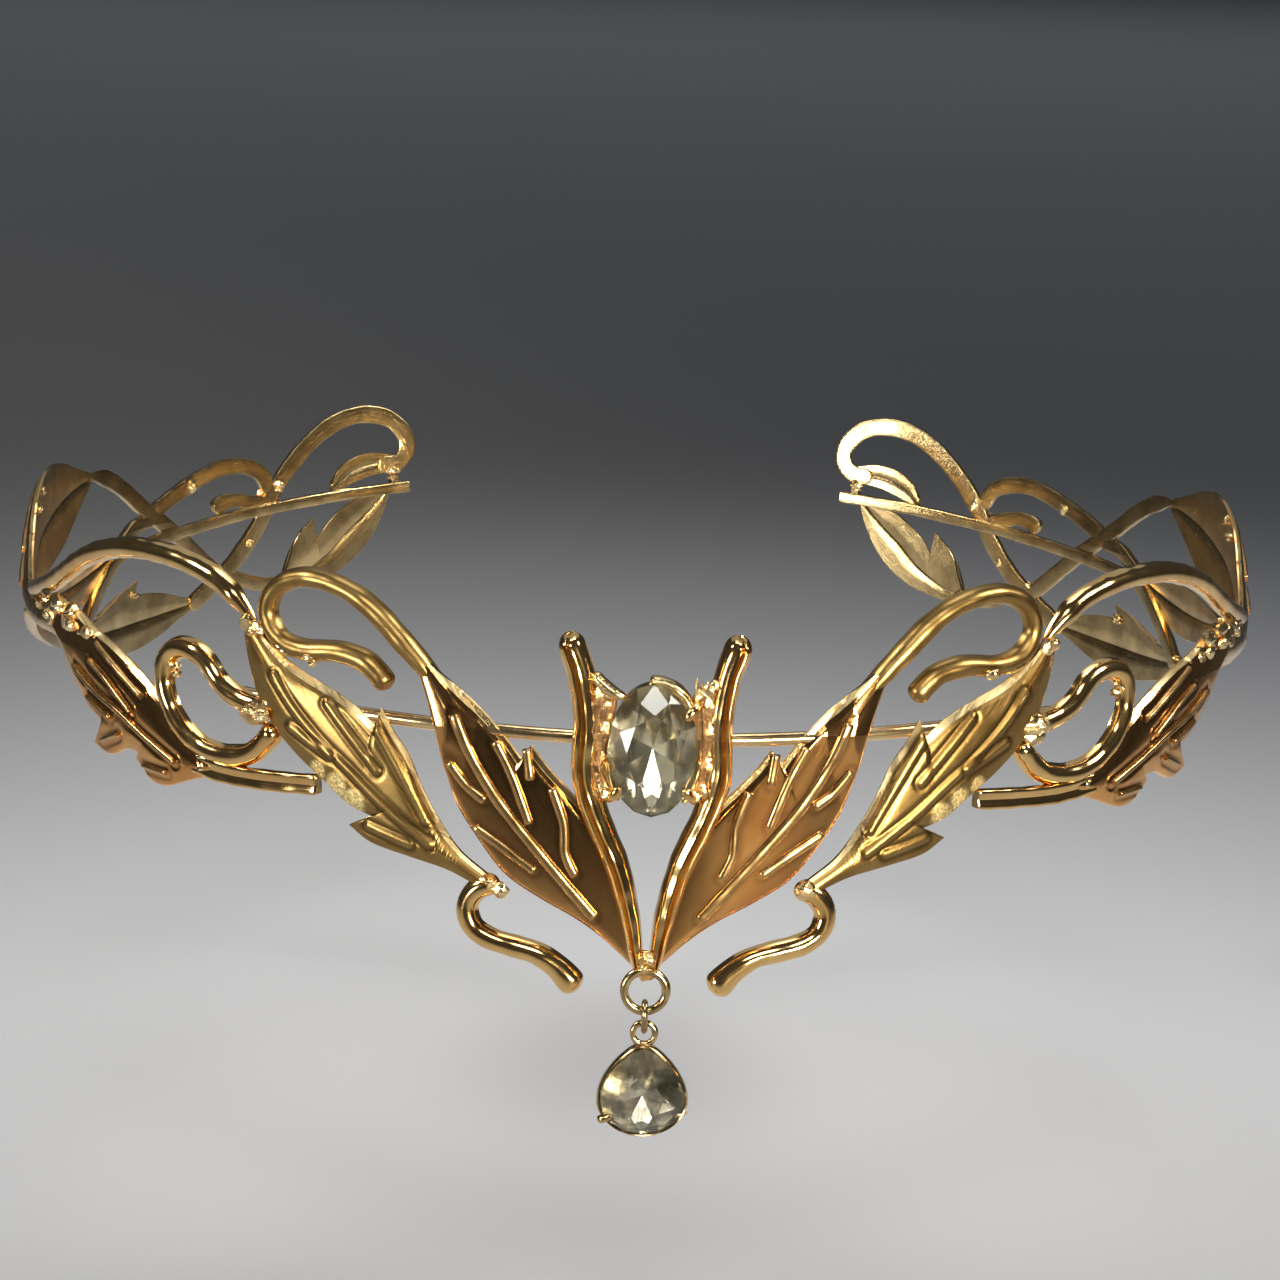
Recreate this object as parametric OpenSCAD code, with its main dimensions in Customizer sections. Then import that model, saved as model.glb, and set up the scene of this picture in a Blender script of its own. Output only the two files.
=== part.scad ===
// Open-backed leaf crown: cast leaves and tendrils soldered into one oval band,
// an oval stone between two twigs at the front and a pear drop below them.
// The front faces -Y. The origin is the middle of the head opening, at the height
// of the plain wire behind the front leaves.

/* [Band] */
// Half the width of the oval that the band follows
half_width = 76; // [74:0.5:80]
// Half the depth of that oval, front to back
half_depth = 80.5; // [78:0.5:83]
// How deep the wire, the bars and the tendrils are sunk into what they are soldered to
sunk = 0.2; // [0.1:0.05:0.3]

/* [Leaves] */
// Thickness of a leaf at its edges
leaf_edge = 0.9; // [0.7:0.1:1.2]
// How far the middle of a leaf swells in front of its edges
leaf_swell = 0.6; // [0.4:0.1:0.9]
// Width of the raised veins
vein_wide = 1.1; // [0.9:0.1:1.4]
// Height of the raised veins
vein_high = 0.5; // [0.4:0.1:0.7]

/* [Tendrils] */
// Width of the long tendrils
tendril_wide = 2.3; // [2:0.1:2.6]
// Depth of the tendrils, from their flat back to their round front
tendril_deep = 1.6; // [1.4:0.1:2]
// Depth of the two front twigs
twig_deep = 2.4; // [2:0.1:2.8]
// Diameter of the plain front wire
wire_d = 1.5; // [1.3:0.1:1.7]
// Height of the flat bars inside the back panels
bar_high = 1.6; // [1.4:0.1:2]
// Size of the lumps of solder at the joints
solder_d = 2.2; // [1.8:0.1:2.6]

/* [Centre stone] */
// Width of the oval stone
stone_wide = 9.6; // [9:0.1:10]
// Height of the oval stone
stone_high = 14.4; // [13.6:0.1:15]
// Depth of the stone in front of its girdle
stone_front = 2; // [1.6:0.1:2.4]
// Depth of the stone behind its girdle
stone_back = 2.6; // [2.2:0.1:2.8]
// Distance of the girdle in front of the band
girdle_out = 3; // [2.9:0.1:3.3]

/* [Drop] */
// Outer diameter of the ring soldered under the point of the V
ring_d = 5.4; // [5.2:0.1:5.8]
// Diameter of the ring's wire
ring_wire = 0.9; // [0.8:0.05:1]
// Diameter of the wire of the link and of the drop's eye
link_wire = 0.7; // [0.6:0.05:0.75]
// Width of the pear drop
drop_wide = 9.9; // [9.4:0.1:10.3]
// Height of the pear drop
drop_high = 10.3; // [9.8:0.1:10.8]
// Thickness of the drop's rim
drop_rim = 0.5; // [0.4:0.1:0.7]

/* [Hidden] */

gold = "goldenrod";
crystal = "lightgoldenrodyellow";

// Columns of the tables: along the band from the front centre, height, width,
// and how far the flat back stands out from the band.
U = 0;
V = 1;
WIDE = 2;
LIFT = 3;

band_r = (half_width + half_depth) / 2;
tendril_step = 4.6;
curl_step = 3;
bar_step = 10;
bar_deep = 1;
vein_step = 10;
small_sides = 5;

// Cross-sections, as [across, out] shares of a sweep's width and depth
half_round = [[-0.5, 0], [-0.42, 0.62], [0, 1], [0.42, 0.62], [0.5, 0]];
round_wire = [[-0.43, 0.25], [-0.43, 0.75], [0, 1], [0.43, 0.75], [0.43, 0.25], [0, 0]];
flat_bar = [[-0.5, 0], [-0.5, 1], [0.5, 1], [0.5, 0]];
vein_ridge = [[-0.5, 0], [0, 1], [0.5, 0]];
// Shares of a leaf's width at which its front is measured
leaf_across = [0.02, 0.5, 0.98];

// Height of the centre stone's middle, and the collar behind its girdle
stone_v = -0.8;
collar_back = 0.9;
collar_gap = 0.9;
// Corners of the centre stone, ring by ring from its table to its back: shares of its
// width and height, their number, their turn, and how far in front of the girdle
stone_rings = [
    [0.56, 0.6, 8, 0.5, stone_front], [0.82, 0.84, 8, 0, 0.62 * stone_front],
    [1, 1, 16, 0, 0.2], [1, 1, 16, 0, -0.2],
    [0.5, 0.56, 8, 0.5, -0.7 * stone_back], [0.06, 0.3, 4, 0, -stone_back]
];
// Claws of the centre stone: the reach of the foot between the collar and the twig, and
// the claw's points, each as a share of its reach and a distance in front of the band
claw_d = 1.1;
claw_gap = 0.7;
foot_d = 1.5;
foot_reach = [0.86, 1.38];
claw_points = [[1, foot_d], [1, girdle_out + 0.5], [0.86, girdle_out + 1.9]];

// Where the drop's parts hang, below one another
ring_v = -27.6;
ring_r = (ring_d - ring_wire) / 2;
ring_lift = 1.2;
swing_v = ring_v - ring_r;
link_play = 0.15;
link_top = swing_v + ring_wire / 2 + link_wire / 2 + link_play;
link_long = 3.1;
link_low = link_top - link_long;
link_half = ring_wire / 2 + link_wire / 2 + link_play + 0.1;
eye_r = 1.2;
eye_v = link_low + link_wire + link_play - eye_r;
drop_top = eye_v - eye_r;
drop_y = -half_depth - ring_lift - ring_wire / 2;
rim_front = 0.9;
rim_back = 1.2;
ledge_back = 0.9;
ledge_wide = 0.3;
stone_play = 0.1;
// Corners of the drop's stone: share of its outline, their number, turn and depth
drop_stone_rings = [
    [0.5, 8, 0.5, 2.1], [0.8, 8, 0, 1.5], [1, 16, 0, 0.7], [1, 16, 0, 0.4],
    [0.5, 8, 0.5, -1.1], [0.06, 4, 0, -1.7]
];
// Claws of the drop: shares of its width across and of its height down, and depth
drop_claw_d = 0.9;
drop_claw_points = [[0.45, 0.85, 0.2], [0.39, 0.81, 1.2]];

// Tables for the right-hand side; the left-hand side is their mirror image.
twig = [
    [9.1, 10.4, 3.1, 1.2], [7.8, 7.2, 3, 1.2], [7.1, 1.6, 2.9, 1.2], [7.2, -3.7, 2.8, 1.2],
    [5.8, -8.5, 2.8, 1], [3.4, -14, 2.6, 0.8], [1.9, -19.5, 2.4, 0.6], [1.2, -24.6, 2.1, 0.4]
];
tendril_a = [
    [24.2, 4.6, 3.2, -sunk], [26.2, 6.6, 3.1, -sunk], [28.4, 8.8, 2.9, -sunk],
    [30.9, 11.1, 2.6, -sunk], [33.6, 12.9, 2.4, -sunk], [36.7, 14, 2.3, -sunk],
    [40, 14.3, 2.3, -sunk], [42.8, 13.6, 2.3, -sunk], [44.7, 12, 2.3, -sunk],
    [45.3, 9.9, 2.3, -sunk], [44.3, 7.8, 2.3, -sunk], [42.3, 6.7, 2.3, -sunk],
    [39.7, 6.4, 2.3, -sunk], [36.1, 6.7, 2.3, -sunk], [33, 6.1, 2.4, -sunk],
    [31.2, 5, 2.5, -sunk], [30.2, 4, 2.5, -sunk]
];
tendril_b = [
    [46.6, 6.6], [48.2, 9], [50.4, 11], [53.5, 12.7], [58, 13.8], [63, 14], [69, 13.6], [75, 12.3],
    [80, 10.6], [85, 8.3], [90, 6.2], [95, 4.6], [101, 3], [108, 2]
];
hook_c = [
    [16.4, -16.7], [18.8, -17.7], [20, -19.6], [19.4, -21.8], [17.4, -23.1], [14.5, -23.8],
    [12, -24.5], [9.7, -25.8], [8.2, -27.2]
];
scroll = [
    [46.4, -0.8], [49.5, -0.4], [52, 0.6], [53.9, 2.4], [56.4, 3.8], [59.2, 3.8], [61.3, 2.2],
    [61.6, -0.7], [60.2, -3.6], [57.6, -5.8], [54.5, -7], [51.1, -7.2], [47.8, -6.4],
    [45.6, -4.6], [44, -2.6]
];
cut_rod = [[38, -8.3], [43, -8.7], [48, -9], [52, -9], [56, -8.6]];
side_stem = [[84, 1.4], [90, 1], [98, 0.4], [106, 0.2]];
tendril_l = [
    [144, 9.4], [148, 9], [152, 7.8], [156, 5.8], [160, 3.2], [164.5, 0.4], [168.5, -2.2],
    [172.6, -5.4], [177.4, -9.2]
];
tendril_k = [
    [171.4, -13], [175.2, -11], [179.4, -8.6], [182.8, -5.7], [185.6, -2.5], [187.5, 0.8],
    [190.5, 4.6], [194.6, 8.4], [199, 11], [203.6, 12], [208, 11.2], [210.9, 8.6],
    [211.1, 6], [209.3, 4.4], [206.6, 4.4]
];
arc_m = [
    [187.2, 2], [185.8, 4.5], [182.5, 6], [178.3, 6.3], [173.3, 5.2], [168.3, 3.6], [163.4, 1.8]
];
small_hook = [[186.4, 0.2], [183, 0.9], [180.2, 1.4], [177.6, 0.9]];
short_rod = [[163, 0.8], [159, 0.4], [154, -2.4]];
inner_rod = [[156.4, -1.6], [151, -4.6], [146, -8.4], [141.4, -12.4]];
stem_f = [[191.6, -11.6], [186, -11.6], [179, -9.4]];
stem_e = [[106, -0.6], [114, -3.6], [124, -7.4], [134, -10.6], [143, -12.2]];
front_wire = [[0, 0], [10, 0], [20, 0], [30, 0], [40, 0], [50, 0]];
back_bar = [
    [211.4, 1], [204, 0.6], [196, 0.1], [188, -0.4], [180, -0.9], [171, -1.6], [162, -2.2],
    [154, -2.8]
];

// Leaves, a row for each section from stem to tip: the lower edge and the upper edge
leaf_a = [
    [1.6, -25.4, 0.9, -24.2], [5, -22.3, 2.5, -17.6], [11, -18.8, 5.6, -10],
    [15.9, -15.8, 9.5, -5.8], [19.4, -11.6, 12.8, -3.4], [21.6, -8, 16, -0.6],
    [23.2, -4, 19.6, 2.8], [24.7, 1.6, 23.2, 5.4], [26, 4.8, 24.6, 6.4]
];
leaf_b = [
    [18, -17.6, 17.6, -16], [22.8, -15.9, 21, -13.5], [27, -13.6, 23.6, -10],
    [31, -11.2, 26.4, -5.2], [35.4, -9, 30.6, -1], [40.8, -5.4, 36, 2.2],
    [44.4, -2.4, 41.2, 4.6], [47.2, 2.6, 45.4, 7.2], [48.3, 6.4, 47.2, 8.4]
];
leaf_c = [
    [53, -9.7, 53, -7.4], [57.5, -11, 57.5, -5.6], [63, -10.8, 63, -1.8], [69, -8.9, 69.5, 1.2],
    [75.6, -7.1, 76, 2.8], [81.6, -4.2, 82.6, 4.5], [86, -1.2, 86.8, 4.2], [89, 0.4, 90, 3]
];
leaf_g = [
    [100, -0.8, 100, 1.6], [107, -1.4, 107, 2.4], [114, -1.6, 114, 5.6], [121, -1.2, 121, 10.6],
    [129, -0.2, 129, 13.1], [136, 1.6, 136, 12.6], [141, 4.6, 141, 11.2], [146, 8.2, 146, 9.8]
];
leaf_h = [
    [126, -4, 126, -2.4], [131, -6.4, 131, -2], [136, -7.8, 137, -1.4], [142, -8, 143, -1],
    [148, -6.4, 149, -0.8], [153, -3.8, 154, -1.2], [157, -2, 157, -1.2]
];
leaf_e = [
    [142, -13.2, 142, -11.2], [147, -15.4, 148, -10.2], [153, -16.8, 154, -9.4],
    [159, -17, 160, -9.2], [164.6, -16, 165.4, -10], [169, -14.4, 169.6, -11.2],
    [173, -13.2, 173, -12]
];
leaf_f = [
    [190, -12.8, 190.4, -10.6], [195, -12.4, 193.2, -8.6], [200, -11, 196.4, -5.6],
    [203.6, -8.6, 199.4, -2.6], [206.2, -5.4, 202.6, -0.6], [208, -1.6, 205.6, 0.2],
    [208.4, 0.4, 207.4, 0.6]
];
loop_leaf = [
    [208.2, 5.6, 208, 3.2], [205.6, 6.2, 204.6, 2.6], [202.4, 5.6, 201.6, 1.6],
    [199.8, 4, 200, 0.8], [198.8, 2, 199.2, 0.6]
];

// Side lobes of the leaves, in the same columns, from the blade to the lobe's tip
lobes = [
    [[11.8, -6.8, 10, -5.2], [14.2, -4.2, 12.2, -3], [13.5, -1.6, 13.1, -1.4]],
    [[22.6, -15.7, 25, -12.4], [29, -14.4, 29.4, -11.6], [34, -12.3, 33.9, -11.9]],
    [[28.6, -4.2, 26.8, -4.8], [31, -1.4, 28.8, -1.9], [30.7, 1.2, 30.3, 1.2]],
    [[56.6, -10.8, 58, -8], [62, -12.3, 62, -9], [66.4, -10.6, 66.2, -10.1]],
    [[68.2, -9, 69, -6], [72.2, -10.8, 72.8, -7], [75.7, -10.7, 75.5, -10.2]],
    [[156.4, -10.4, 151.4, -11], [158, -8.6, 153.4, -8.8], [159.4, -7.4, 158.8, -7.2]],
    [[194, -9.4, 191.4, -9.6], [195.6, -6.4, 192.2, -6], [195.8, -2.8, 195.3, -2.6]]
];

// Raised veins, a midrib first and then its side veins, each from tip to root
veins_a = [
    [[21.5, 1.2], [17.6, -6.6], [12, -13.2], [6.4, -19.6]],
    [[17.2, -1.5], [13.4, -9.6]],
    [[10.8, -7], [8.2, -15.2]],
    [[22, -4.2], [18.2, -7.8]],
    [[19.2, -11], [12.5, -15]]
];
veins_b = [
    [[43.5, 3], [37.5, -3.2], [30.4, -8.6], [24.8, -12.8]],
    [[37, 0.4], [30.6, -5.6]],
    [[41.4, -2.4], [36.5, -4.9]],
    [[30.4, -3], [25.2, -9.8]],
    [[31, -12.2], [26.9, -13.3]]
];
veins_c = [
    [[79, -2.6], [69, -5], [59, -9]],
    [[75, -0.4], [66.6, -4.3]],
    [[74, 1], [66.6, -1.6]],
    [[76, -5], [71, -6]]
];
veins_g = [
    [[141, 9], [129, 5.6], [113, 1.4]],
    [[134, 11], [125, 7]],
    [[136, 3.6], [126, 3]]
];
veins_e = [
    [[168, -12.8], [148, -13]],
    [[160, -10.6], [155, -11.4]],
    [[161, -15.2], [155, -15]]
];
veins_f = [
    [[205, -3], [197, -9.8]],
    [[200.4, -4.4], [198, -7.6]]
];

// Lumps of solder, in the columns of the tables with the lump's size as its width
joints = [
    [17, -17.2, 2.2, 1], [46.8, 8.4, 2.4, 1], [39, 5.6, 1.8, 1], [45.6, -1, 2.4, 0.8],
    [54.6, -8.4, 2.2, 0.8], [84, 4.2, 3, 0.6], [91, 3, 3.2, 0.6], [163.6, 1.2, 2.2, 0.6],
    [187.2, 1.2, 2.4, 0.8], [177.8, -9.2, 2.4, 0.8], [172.6, -12.8, 2.2, 0.8],
    [142, -12.2, 2.4, 0.4], [208.6, 2.6, 1.8, -0.4]
];
// Round ends of the tendrils
ends = [
    [9.2, 10.5, 3.1, 2.2], [30.1, 3.9, 2.7, 0.9], [8, -27.3, 3.2, 0.9], [46.2, -0.8, 2.8, 0.9],
    [177.2, 0.8, 2.4, 0.8]
];
// Claws of the centre stone: where each stands, as an angle round the stone
claw_angles = [52, 128, 232, 308];

// Place on the band: u along it, v up, w out from it
function on_band(u, v, w) =
    let (t = u / band_r * 180 / PI)
    [(half_width + w) * sin(t), -(half_depth + w) * cos(t), v];

// Point a share t of the way from b to c, on the smooth curve through a, b, c and d
function between(a, b, c, d, t) =
    0.5 * (2 * b + (c - a) * t + (2 * a - 5 * b + 4 * c - d) * t * t
        + (3 * b - a - 3 * c + d) * t * t * t);

// Smooth curve through the rows of a table, with a row about every step
function smooth(rows, step) =
    let (last = len(rows) - 1)
    [for (i = [0:last - 1], n = max(1, round(norm(rows[i + 1] - rows[i]) / step)), j = [0:n - 1])
        between(rows[max(i - 1, 0)], rows[i], rows[i + 1], rows[min(i + 2, last)], j / n),
    rows[last]];

function with_size(rows, wide, lift) = [for (r = rows) [r[U], r[V], wide, lift]];

// Faces of a tube of count rings with sides points each, closed at both ends
function tube_faces(count, sides) = concat(
    [for (j = [1:sides - 2]) [0, j + 1, j]],
    [for (j = [1:sides - 2]) [(count - 1) * sides, (count - 1) * sides + j, (count - 1) * sides + j + 1]],
    [for (i = [0:count - 2], j = [0:sides - 1])
        [i * sides + j, i * sides + (j + 1) % sides, (i + 1) * sides + (j + 1) % sides]],
    [for (i = [0:count - 2], j = [0:sides - 1])
        [i * sides + j, (i + 1) * sides + (j + 1) % sides, (i + 1) * sides + j]]
);

// Cross-section carried along a table of rows on the band
module sweep(rows, deep, section, step) {
    path = smooth(rows, step);
    last = len(path) - 1;
    points = [
        for (i = [0:last])
            let (a = path[max(i - 1, 0)], b = path[min(i + 1, last)], along = [b[U] - a[U], b[V] - a[V]])
            let (side = [-along[1], along[0]] / norm(along) * path[i][WIDE])
            for (q = section)
                on_band(path[i][U] + side[0] * q[0], path[i][V] + side[1] * q[0],
                    path[i][LIFT] + q[1] * deep)
    ];
    polyhedron(points, tube_faces(last + 1, len(section)));
}

module tendril(rows, wide = tendril_wide, lift = -sunk, step = tendril_step)
    sweep(with_size(rows, wide, lift), tendril_deep, half_round, step);

// Leaf or lobe: flat behind, swelling in front, a row of its table for each section
module blade(rows, lift = 0, front_across = leaf_across) {
    across = concat([0], front_across, [1]);
    sides = len(across);
    points = [
        for (r = rows)
            let (swell = leaf_swell * min(1, norm([r[2] - r[0], r[3] - r[1]]) / 6))
            for (k = [0:sides - 1])
                let (f = across[k], front = leaf_edge + swell * (1 - pow(2 * f - 1, 2)))
                on_band(r[0] + (r[2] - r[0]) * f, r[1] + (r[3] - r[1]) * f,
                    lift + (k == 0 || k == sides - 1 ? 0 : front))
    ];
    polyhedron(points, tube_faces(len(rows), sides));
}

module veins(table) {
    base = leaf_edge * 0.7;
    deep = leaf_edge + leaf_swell + vein_high - base;
    for (k = [0:len(table) - 1])
        sweep(with_size(table[k], 2 * vein_wide * (k == 0 ? 1.2 : 1), base), deep, vein_ridge, vein_step);
}

module round_end(row)
    hull()
        translate(on_band(row[U], row[V], row[LIFT]))
            sphere(d = row[WIDE], $fn = small_sides);

// Angular lump of solder; its tilt follows from its place, so no two look alike
module solder(row)
    translate(on_band(row[U], row[V], row[LIFT]))
        rotate([row[V] * 31, row[U] * 19, row[U] * 47])
            hull()
                scale([0.8, 0.95, 1.1] * row[WIDE] / 2.2 * solder_d)
                    sphere(d = 1.25, $fn = 4);

// Ring of round wire; it stands facing -Y, and turned it stands facing sideways
module wire_ring(across, high, wire, around, sides) {
    points = [
        for (i = [0:around - 1], j = [0:sides - 1])
            let (a = 360 * i / around, b = 360 * (j + 0.5) / sides)
            let (r = wire / 2 * cos(b))
            [(across + r) * cos(a), wire / 2 * sin(b), (high + r) * sin(a)]
    ];
    faces = concat(
        [for (i = [0:around - 1], j = [0:sides - 1])
            let (n = (i + 1) % around, m = (j + 1) % sides) [i * sides + j, n * sides + m, i * sides + m]],
        [for (i = [0:around - 1], j = [0:sides - 1])
            let (n = (i + 1) % around, m = (j + 1) % sides) [i * sides + j, n * sides + j, n * sides + m]]
    );
    polyhedron(points, faces);
}

// Lowers its children from the band's front to where the drop hangs
module at_drop(v)
    translate([0, drop_y, v])
        children();

// Outline of a pear, height share 0 at its point and 1 at its round end
function pear_half(h) = sin(acos(1 - 2 * h)) * (0.57 + 0.525 * sin(90 * pow(h, 0.85)));
function pear(wide, high, count, turn = 0) = [
    for (i = [0:count - 1])
        let (a = 360 * (i + turn) / count, h = (1 - cos(a)) / 2)
        [sign(sin(a)) * wide / 2 * pear_half(h), -high * h]
];
function oval(wide, high, count, turn = 0) = [
    for (i = [0:count - 1])
        let (a = 360 * (i + turn) / count)
        [wide / 2 * sin(a), high / 2 * cos(a)]
];
function level(outline, depth) = [for (p = outline) [p[0], -depth, p[1]]];

// Cut stone: the smallest solid round all the points of its rings of corners
module cut_stone(corners)
    hull()
        polyhedron(corners, [[for (i = [0:len(corners) - 1]) i]]);

module side_panel() {
    sweep(twig, twig_deep, half_round, tendril_step);
    sweep(tendril_a, tendril_deep, half_round, curl_step);
    tendril(tendril_b, wide = 2.4);
    tendril(hook_c, wide = 2.4, step = curl_step);
    tendril(scroll, wide = 2.5, step = curl_step);
    tendril([[46.6, 7.4], [43, 6.2], [39, 5]], wide = 1.4);
    sweep(with_size(cut_rod, 2.4, 0), 1.2, flat_bar, bar_step);
    for (rows = [leaf_a, leaf_b, leaf_c])
        blade(rows);
    for (table = [veins_a, veins_b, veins_c])
        veins(table);
    sweep(with_size(front_wire, wire_d, sunk - wire_d), wire_d, round_wire, bar_step);
}

module back_panel() {
    tendril(side_stem, wide = 3);
    tendril(stem_e, wide = 2.2);
    tendril(tendril_l);
    tendril(tendril_k, wide = 2.4, step = curl_step);
    tendril(arc_m);
    tendril(small_hook, wide = 2);
    tendril(short_rod, wide = 2);
    tendril(inner_rod, wide = 2, lift = -3 * sunk);
    tendril(stem_f, wide = 2);
    sweep(with_size(back_bar, bar_high, -bar_deep), bar_deep, flat_bar, bar_step);
    for (rows = [leaf_g, leaf_h, leaf_e, leaf_f, loop_leaf])
        blade(rows);
    for (table = [veins_g, veins_e, veins_f])
        veins(table);
}

// Oval collar behind the stone's girdle, with the claws round it
module stone_collar()
    at_front(stone_v) {
        outer = oval(stone_wide - 0.4, stone_high - 0.4, 12);
        inner = oval(stone_wide - 1.8, stone_high - 1.8, 12);
        walls([
            level(outer, collar_back), level(outer, girdle_out - collar_gap),
            level(inner, girdle_out - collar_gap), level(inner, collar_back)
        ]);
        for (angle = claw_angles)
            claw(angle);
    }

// Claw with its foot from the collar to the twig, bending in over the girdle
module claw(angle) {
    x = (stone_wide / 2 + claw_gap) * sin(angle);
    z = (stone_high / 2 + claw_gap) * cos(angle);
    hull()
        for (reach = foot_reach)
            translate([x * reach, -foot_d, z * min(reach, 1)])
                sphere(d = foot_d, $fn = 4);
    hull()
        for (point = claw_points)
            translate([x * point[0], -point[1], z * point[0]])
                sphere(d = claw_d, $fn = small_sides);
}

module at_front(v)
    translate([0, -half_depth, v])
        children();

module crown_frame()
    color(gold) {
        for (side = [0, 1])
            mirror([side, 0, 0]) {
                side_panel();
                back_panel();
                for (rows = lobes)
                    blade(rows, sunk, [0.5]);
                for (row = ends)
                    round_end(row);
                for (row = joints)
                    solder(row);
            }
        stone_collar();
        solder([0, -24.6, 3, 1.4]);
        at_drop(ring_v)
            wire_ring(ring_r, ring_r, ring_wire, 16, 6);
    }

module centre_stone()
    color(crystal)
        at_front(stone_v)
            cut_stone([
                for (r = stone_rings)
                    each level(oval(stone_wide * r[0], stone_high * r[1], r[2], r[3]), girdle_out + r[4])
            ]);

module drop_link()
    color(gold)
        at_drop((link_top + link_low) / 2)
            rotate(90)
                wire_ring(link_half, link_long / 2, link_wire, 16, 6);

// Outline of the drop, a share k of its full size, drawn about the pear's middle
function drop_outline(k, count, turn = 0) = [
    for (p = pear(drop_wide, drop_high, count, turn))
        [p[0] * k, (p[1] + drop_high * 0.56) * k - drop_high * 0.56]
];

// Closed band of walls through outlines of the same count, given with their depths
module walls(outlines) {
    count = len(outlines[0]);
    last = len(outlines);
    polyhedron([for (o = outlines, p = o) p], [
        for (k = [0:last - 1], i = [0:count - 1])
            let (n = (i + 1) % count, m = (k + 1) % last)
            each [
                [k * count + i, m * count + n, m * count + i],
                [k * count + i, k * count + n, m * count + n]
            ]
    ]);
}

// Pear rim with an open back and a narrow ledge, two claws, and the eye it hangs by
module drop_setting()
    color(gold) {
        in = 1 - 2 * drop_rim / drop_wide;
        ledge = 1 - 2 * (drop_rim + ledge_wide) / drop_wide;
        at_drop(drop_top)
            walls([
                level(drop_outline(1, 20), -rim_back), level(drop_outline(1, 20), rim_front),
                level(drop_outline(in, 20), rim_front), level(drop_outline(in, 20), -ledge_back),
                level(drop_outline(ledge, 20), -ledge_back), level(drop_outline(ledge, 20), -rim_back)
            ]);
        at_drop(eye_v)
            wire_ring(eye_r, eye_r, link_wire, 12, 6);
        at_drop(drop_top)
            for (side = [-1, 1])
                hull()
                    for (point = drop_claw_points)
                        translate([side * point[0] * drop_wide, -point[2], -point[1] * drop_high])
                            sphere(d = drop_claw_d, $fn = 6);
    }

// Pear-cut stone with a table, in the rim of the drop
module drop_stone()
    color(crystal)
        at_drop(drop_top) {
            in = 1 - 2 * (drop_rim + stone_play) / drop_wide;
            cut_stone([
                for (r = drop_stone_rings)
                    each level(drop_outline(in * r[0], r[1], r[2]), r[3])
            ]);
        }

crown_frame();
centre_stone();
drop_link();
drop_setting();
drop_stone();
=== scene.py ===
"""Looks of the leaf crown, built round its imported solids.

The crown stands as it is worn: its oval band is level and its front faces -Y. Every
casting is flat behind and rounded in front. Lengths are in millimetres until a mesh is
made. A place on the band is written (u, v, w): u along the band from the front centre,
v up, and w outwards. Tables hold the right-hand side, and the left-hand side mirrors them.
"""

import logging
import math
from collections.abc import Callable
from dataclasses import dataclass, field
from enum import Enum

import bpy
import numpy as np
from mathutils import Matrix


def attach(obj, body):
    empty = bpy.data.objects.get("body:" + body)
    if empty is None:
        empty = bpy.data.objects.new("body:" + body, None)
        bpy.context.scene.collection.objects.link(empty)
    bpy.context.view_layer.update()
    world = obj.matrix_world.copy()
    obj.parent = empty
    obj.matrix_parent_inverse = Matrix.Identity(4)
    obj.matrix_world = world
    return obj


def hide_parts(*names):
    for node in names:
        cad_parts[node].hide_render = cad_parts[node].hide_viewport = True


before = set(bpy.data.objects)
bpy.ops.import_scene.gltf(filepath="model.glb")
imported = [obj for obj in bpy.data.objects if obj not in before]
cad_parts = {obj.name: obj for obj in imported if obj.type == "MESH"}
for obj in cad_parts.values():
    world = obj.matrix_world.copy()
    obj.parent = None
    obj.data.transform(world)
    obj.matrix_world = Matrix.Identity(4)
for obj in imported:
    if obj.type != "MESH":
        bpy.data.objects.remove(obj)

MM = 0.001
LOG = logging.getLogger("leaf_crown")

Array = np.ndarray
Colour = tuple[float, float, float, float]
Socket = bpy.types.NodeSocket
Point = tuple[float, float, float]
Rows = tuple[tuple[float, ...], ...]
Lumps = tuple[tuple[Point, Point, int], ...]
Place = Callable[[Array, Array, Array], Array]

SMOOTH_EDGE = 35.0
CRUMPLED_EDGE = 18.0
FACET_EDGE = 1.0


def grid(*parts: Array | float) -> Array:
    """Arrays broadcast together and stacked along a new last axis."""
    return np.stack(np.broadcast_arrays(*parts), -1)


def full_turn(count: int) -> Array:
    """Angles of a full turn in even steps from 0, in radians."""
    return np.linspace(0, 2 * np.pi, count, endpoint=False)


class Side(Enum):
    """Half of the crown, as the wearer's front is seen."""

    RIGHT = 1
    LEFT = -1


class End(Enum):
    """How a rod ends."""

    ROUND = "round"
    CUT = "cut"
    POINT = "point"


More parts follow.
